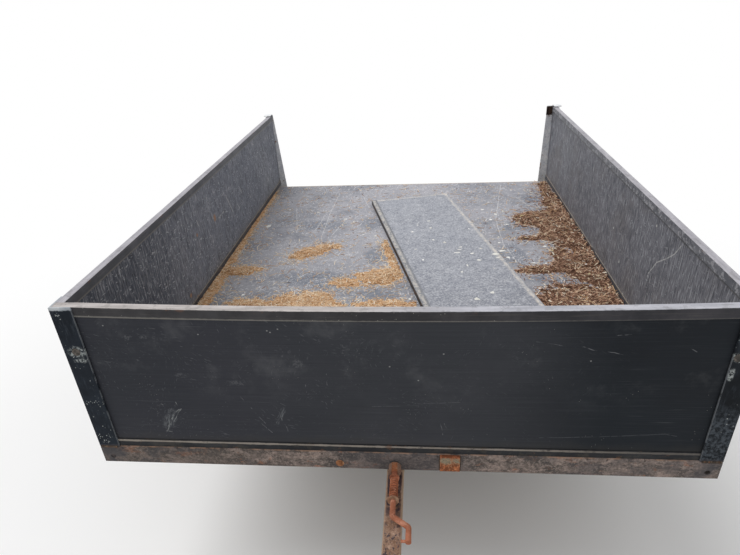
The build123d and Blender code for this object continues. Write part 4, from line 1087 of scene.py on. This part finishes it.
def heap_height(heaps, x, y):
    best = np.zeros_like(x)
    broad, fine = broad_waves(x, y), fine_waves(x, y)
    for heap_x, heap_y, long, wide, turn, height in heaps:
        turn = math.radians(turn)
        along = (x - heap_x) * math.sin(turn) + (y - heap_y) * math.cos(turn)
        across = (x - heap_x) * math.cos(turn) - (y - heap_y) * math.sin(turn)
        away = np.hypot(along / long, across / wide) + 0.14 * broad + 0.06 * fine
        best = np.maximum(best, height * np.clip(1 - away ** 2, 0, 1) ** 0.7)
    ragged = 0.0018 * np.clip(1.3 + fine, 0, None)
    best = np.where(best > 0, np.maximum(best * (1 + 0.16 * fine) - ragged, 0), 0)
    return best * np.clip((gate_distance(x, y) - 0.010) / 0.02, 0, 1)


def corners_of(grid):
    """A grid's values at the four corners of each cell."""
    return grid[:-1, :-1], grid[1:, :-1], grid[1:, 1:], grid[:-1, 1:]


def heap_piece(name, heaps, material):
    """A closed skin of the heaps, its underside just inside the floor board."""
    cell = 0.0105
    xs = np.arange(-WALL_IN + 0.002, WALL_IN - 0.002, cell)
    ys = np.arange(FLOOR_FRONT + 0.004, FLOOR_REAR - 0.006, cell)
    grid_x, grid_y = np.meshgrid(xs, ys, indexing="ij")
    height = heap_height(heaps, grid_x, grid_y)
    cells = (np.any(corners_of(height > 0.0006), axis=0)
             & np.all(corners_of(gate_distance(grid_x, grid_y) > 0.004), axis=0))
    tidy = bmesh.new()
    top, below, edges = {}, {}, {}
    squares = [((i, j), (i + 1, j), (i + 1, j + 1), (i, j + 1)) for i, j in zip(*np.nonzero(cells))]
    for square in squares:
        for corner in square:
            if corner not in top:
                x, y = grid_x[corner], grid_y[corner]
                top[corner] = tidy.verts.new((x, y, DECK + 0.0002 + height[corner]))
                below[corner] = tidy.verts.new((x, y, DECK - 0.001))
    for square in squares:
        tidy.faces.new([top[c] for c in square])
        tidy.faces.new([below[c] for c in reversed(square)])
        for edge in zip(square, square[1:] + square[:1]):
            edges[edge] = True
    for a, b in edges:
        if (b, a) not in edges:
            tidy.faces.new((top[b], top[a], below[a], below[b]))
    mesh = bpy.data.meshes.new(name)
    tidy.to_mesh(mesh)
    tidy.free()
    finish_piece(mesh, name, material, "bed", 70)


def slips_piece(name, material, centres, sizes, yaw, pitch):
    """Many thin closed slips, each turned its own way."""
    corners = np.array([(i, j, k) for i in (-1, 1) for j in (-1, 1) for k in (-1, 1)]) * 0.5
    local = corners[None] * sizes[:, None]
    local[:, :, 1] *= 1 + 0.7 * corners[None, :, 0] * rng.uniform(-1, 1, (len(centres), 1))
    cy, sy, cp, sp = (turned[:, None] for turned in (np.cos(yaw), np.sin(yaw), np.cos(pitch), np.sin(pitch)))
    x = local[..., 0] * cp + local[..., 2] * sp
    y = local[..., 1]
    z = local[..., 2] * cp - local[..., 0] * sp
    points = np.stack([x * cy - y * sy, x * sy + y * cy, z], axis=-1) + centres[:, None]
    quad = np.array([(0, 1, 3, 2), (4, 6, 7, 5), (0, 4, 5, 1), (2, 3, 7, 6), (0, 2, 6, 4), (1, 5, 7, 3)])
    faces = (quad[None] + (8 * np.arange(len(centres)))[:, None, None]).reshape(-1, 4)
    mesh = bpy.data.meshes.new(name)
    mesh.from_pydata(points.reshape(-1, 3).tolist(), [], faces.tolist())
    finish_piece(mesh, name, material, "bed", 20)


TRIES = 12  # places tried for each slip


def scatter(name, heaps, material, count, long, wide, loose):
    """Slips on the heaps, fewer at their edges, and loosely round them."""
    wanted = count * TRIES
    x = rng.uniform(-WALL_IN + 0.004, WALL_IN - 0.004, wanted)
    y = rng.uniform(FLOOR_FRONT + 0.008, FLOOR_REAR - 0.010, wanted)
    height = heap_height(heaps, x, y)
    chance = np.where(height > 0.0004, 0.5 + 45 * height, loose)
    for shift, share in ((0.016, 0.55), (0.040, 0.24), (0.090, 0.08)):
        around = np.zeros_like(x)
        for turn in np.arange(6) * math.tau / 6:
            around = np.maximum(around, heap_height(heaps, x + shift * math.cos(turn), y + shift * math.sin(turn)))
        chance = np.where(around > 0.001, np.maximum(chance, share), chance)
    size = rng.uniform(*long, wanted) * rng.uniform(0.5, 1.0, wanted)
    yaw = rng.uniform(0, math.tau, wanted)
    reach_x, reach_y = np.cos(yaw) * size / 2, np.sin(yaw) * size / 2
    clear = (np.abs(x) + np.abs(reach_x) < WALL_IN - 0.001) & (y - np.abs(reach_y) > FLOOR_FRONT + 0.004)
    for end in (-1, 0, 1):
        clear &= gate_distance(x + end * reach_x, y + end * reach_y) > 0.006
    keep = np.nonzero(clear & (rng.uniform(0, 1, wanted) < chance))[0][:count]
    x, y, size, yaw, height = x[keep], y[keep], size[keep], yaw[keep], height[keep]
    pitch = rng.normal(0, 0.22, len(keep)) * np.clip(height / 0.004, 0.15, 1)
    sizes = np.stack([size, rng.uniform(*wide, len(keep)), rng.uniform(0.0005, 0.0011, len(keep))], axis=-1)
    lift = 0.0006 + np.abs(np.sin(pitch)) * size / 2 * 0.7
    slips_piece(name, material, np.stack([x, y, DECK + height + lift], axis=-1), sizes, yaw, pitch)


heap_piece("chaff_heaps", CHAFF, "chaff_dust")
heap_piece("mulch_heaps", MULCH, "mulch_dust")
scatter("chaff_slips", CHAFF, "chaff_bits", 10500, (0.008, 0.026), (0.0010, 0.0028), 0.014)
scatter("chaff_straws", CHAFF, "chaff_bits", 1200, (0.03, 0.070), (0.0012, 0.0026), 0.08)
scatter("mulch_slips", MULCH, "mulch_bits", 9000, (0.010, 0.030), (0.0014, 0.0040), 0.003)
scatter("mulch_straws", MULCH, "chaff_bits", 450, (0.03, 0.09), (0.0010, 0.0022), 0.01)
scatter("mulch_chips", MULCH, "pale_bits", 170, (0.012, 0.028), (0.004, 0.009), 0.01)

# White flecks: their places in millimetres
GATE_FLECKS = ((120, 1010), (60, 950), (130, 910), (30, 860), (331, 892), (360, 980), (140, 750), (199, 717),
    (276, 662), (50, 640), (257, 597), (267, 632), (329, 590), (376, 641), (90, 520), (356, 510), (299, 457),
    (264, 390), (416, 419), (439, 576), (447, 536), (385, 200), (321, 144))
FLOOR_FLECKS = ((481, 756), (489, 657), (484, 827), (505, 581), (471, 1069), (506, 1153), (555, 998), (556, 1199),
    (633, 816), (680, 828), (702, 706), (617, 524), (673, 517), (772, 1506), (825, 1383), (850, 1570), (653, 1562),
    (440, 1229), (-810, 1020), (-370, 1110), (-310, 1060), (-240, 880), (-170, 860), (-730, 220), (-760, 150),
    (-190, 170), (30, 180), (-160, 330), (-550, 1230), (-740, 1280), (-330, 1620), (598, 272), (623, 283), (650, 288),
    (668, 270), (848, 483))
BIG_FLECKS = ((-810, 1020), (257, 597), (321, 144), (385, 200), (439, 576), (489, 657))


def fleck_piece(name, places, base, body):
    """Small ragged chips, flat with a raised middle."""
    chips = Shape()
    for place in places:
        x, y = place[0] / 1000, place[1] / 1000
        size = random.uniform(0.0075, 0.0125) * (1.6 if place in BIG_FLECKS else 1.0)
        turns = sorted(random.uniform(0, math.tau) for _ in range(7))
        rim = [(size * random.uniform(0.6, 1.15), turn) for turn in turns]
        z = base
        if body == "bed":
            z += float(heap_height(CHAFF + MULCH, np.array([x]), np.array([y]))[0])
        chips.skin([[Vector((x + r * math.cos(t) * k, y + r * math.sin(t) * k, z + lift)) for r, t in rim]
                    for k, lift in ((0.9, -0.0003), (1.0, 0.0004), (0.55, 0.0014))])
    chips.build(name, "white_flecks", body, 40)


fleck_piece("gate_flecks", GATE_FLECKS, GATE_TOP + 0.0002, "tailgate")
fleck_piece("floor_flecks", FLOOR_FLECKS, DECK + 0.0004, "bed")

# Plain pale floor: white where it is seen from afar, so that only the soft shadow shows
stage_floor = add_object("stage_floor", bpy.data.meshes.new("stage_floor"))
stage_floor.data.from_pydata([(-30, -30, 0), (30, -30, 0), (30, 30, 0), (-30, 30, 0)], [], [(0, 1, 2, 3)])
pale = Paint("stage_floor", 0.95, 0.0)
seen = pale.seen()
pale.done(pale.mix(seen, (0.80, 0.80, 0.79, 1), (0.97, 0.97, 0.97, 1)))
WHITE_FROM, WHITE_PAST = 1.9, 3.6
far = pale.step(pale.vector("LENGTH", pale.at, out="Value"), WHITE_FROM, WHITE_PAST)
glow = pale.node("Emission", {"Color": WHITE, "Strength": 1.0})
floor_shader = pale.node("MixShader", {0: pale.times(seen, far), 1: pale.shader.outputs[0], 2: glow})
pale.put(pale.tree.nodes["Material Output"].inputs["Surface"], floor_shader)
stage_floor.data.materials.append(pale.material)

# World: soft light, and plain white where it is seen
world = bpy.data.worlds.new("studio")
bpy.context.scene.world = world
world.use_nodes = True
world.node_tree.nodes.clear()
sky = Nodes(world.node_tree)
soft, white = (sky.node("Background", {"Color": WHITE, "Strength": strength}) for strength in (0.62, 1.0))
sky.node("OutputWorld", {"Surface": sky.node("MixShader", {0: sky.seen(), 1: soft, 2: white})})

# One broad soft sun from above, a little from the left and the rear
sun = bpy.data.lights.new("sun", "SUN")
sun.energy = 1.45
sun.angle = math.radians(50)
sun_holder = add_object("sun", sun)
sun_holder.rotation_mode = "QUATERNION"
sun_holder.rotation_quaternion = Vector((0.50, -0.15, -0.85)).to_track_quat("-Z", "Y")

# Camera: fitted to the box in the photograph
view_right = Vector((0.9953, 0.0833, -0.0503))
view_back = Vector((0.0972, -0.8765, 0.4714))
view_right = (view_right - view_back * view_right.dot(view_back)).normalized()
view_up = view_back.cross(view_right).normalized()
camera = add_object("camera", bpy.data.cameras.new("camera"))
camera.data.sensor_width = 36.0
camera.data.lens = 26.67
camera.data.clip_end = 200
camera.matrix_world = Matrix((
    (view_right.x, view_up.x, view_back.x, 0.0895),
    (view_right.y, view_up.y, view_back.y, FRONT - 1.2077),
    (view_right.z, view_up.z, view_back.z, DECK + 1.2172),
    (0, 0, 0, 1),
))
bpy.context.scene.camera = camera
bpy.context.scene.view_settings.view_transform = "Standard"
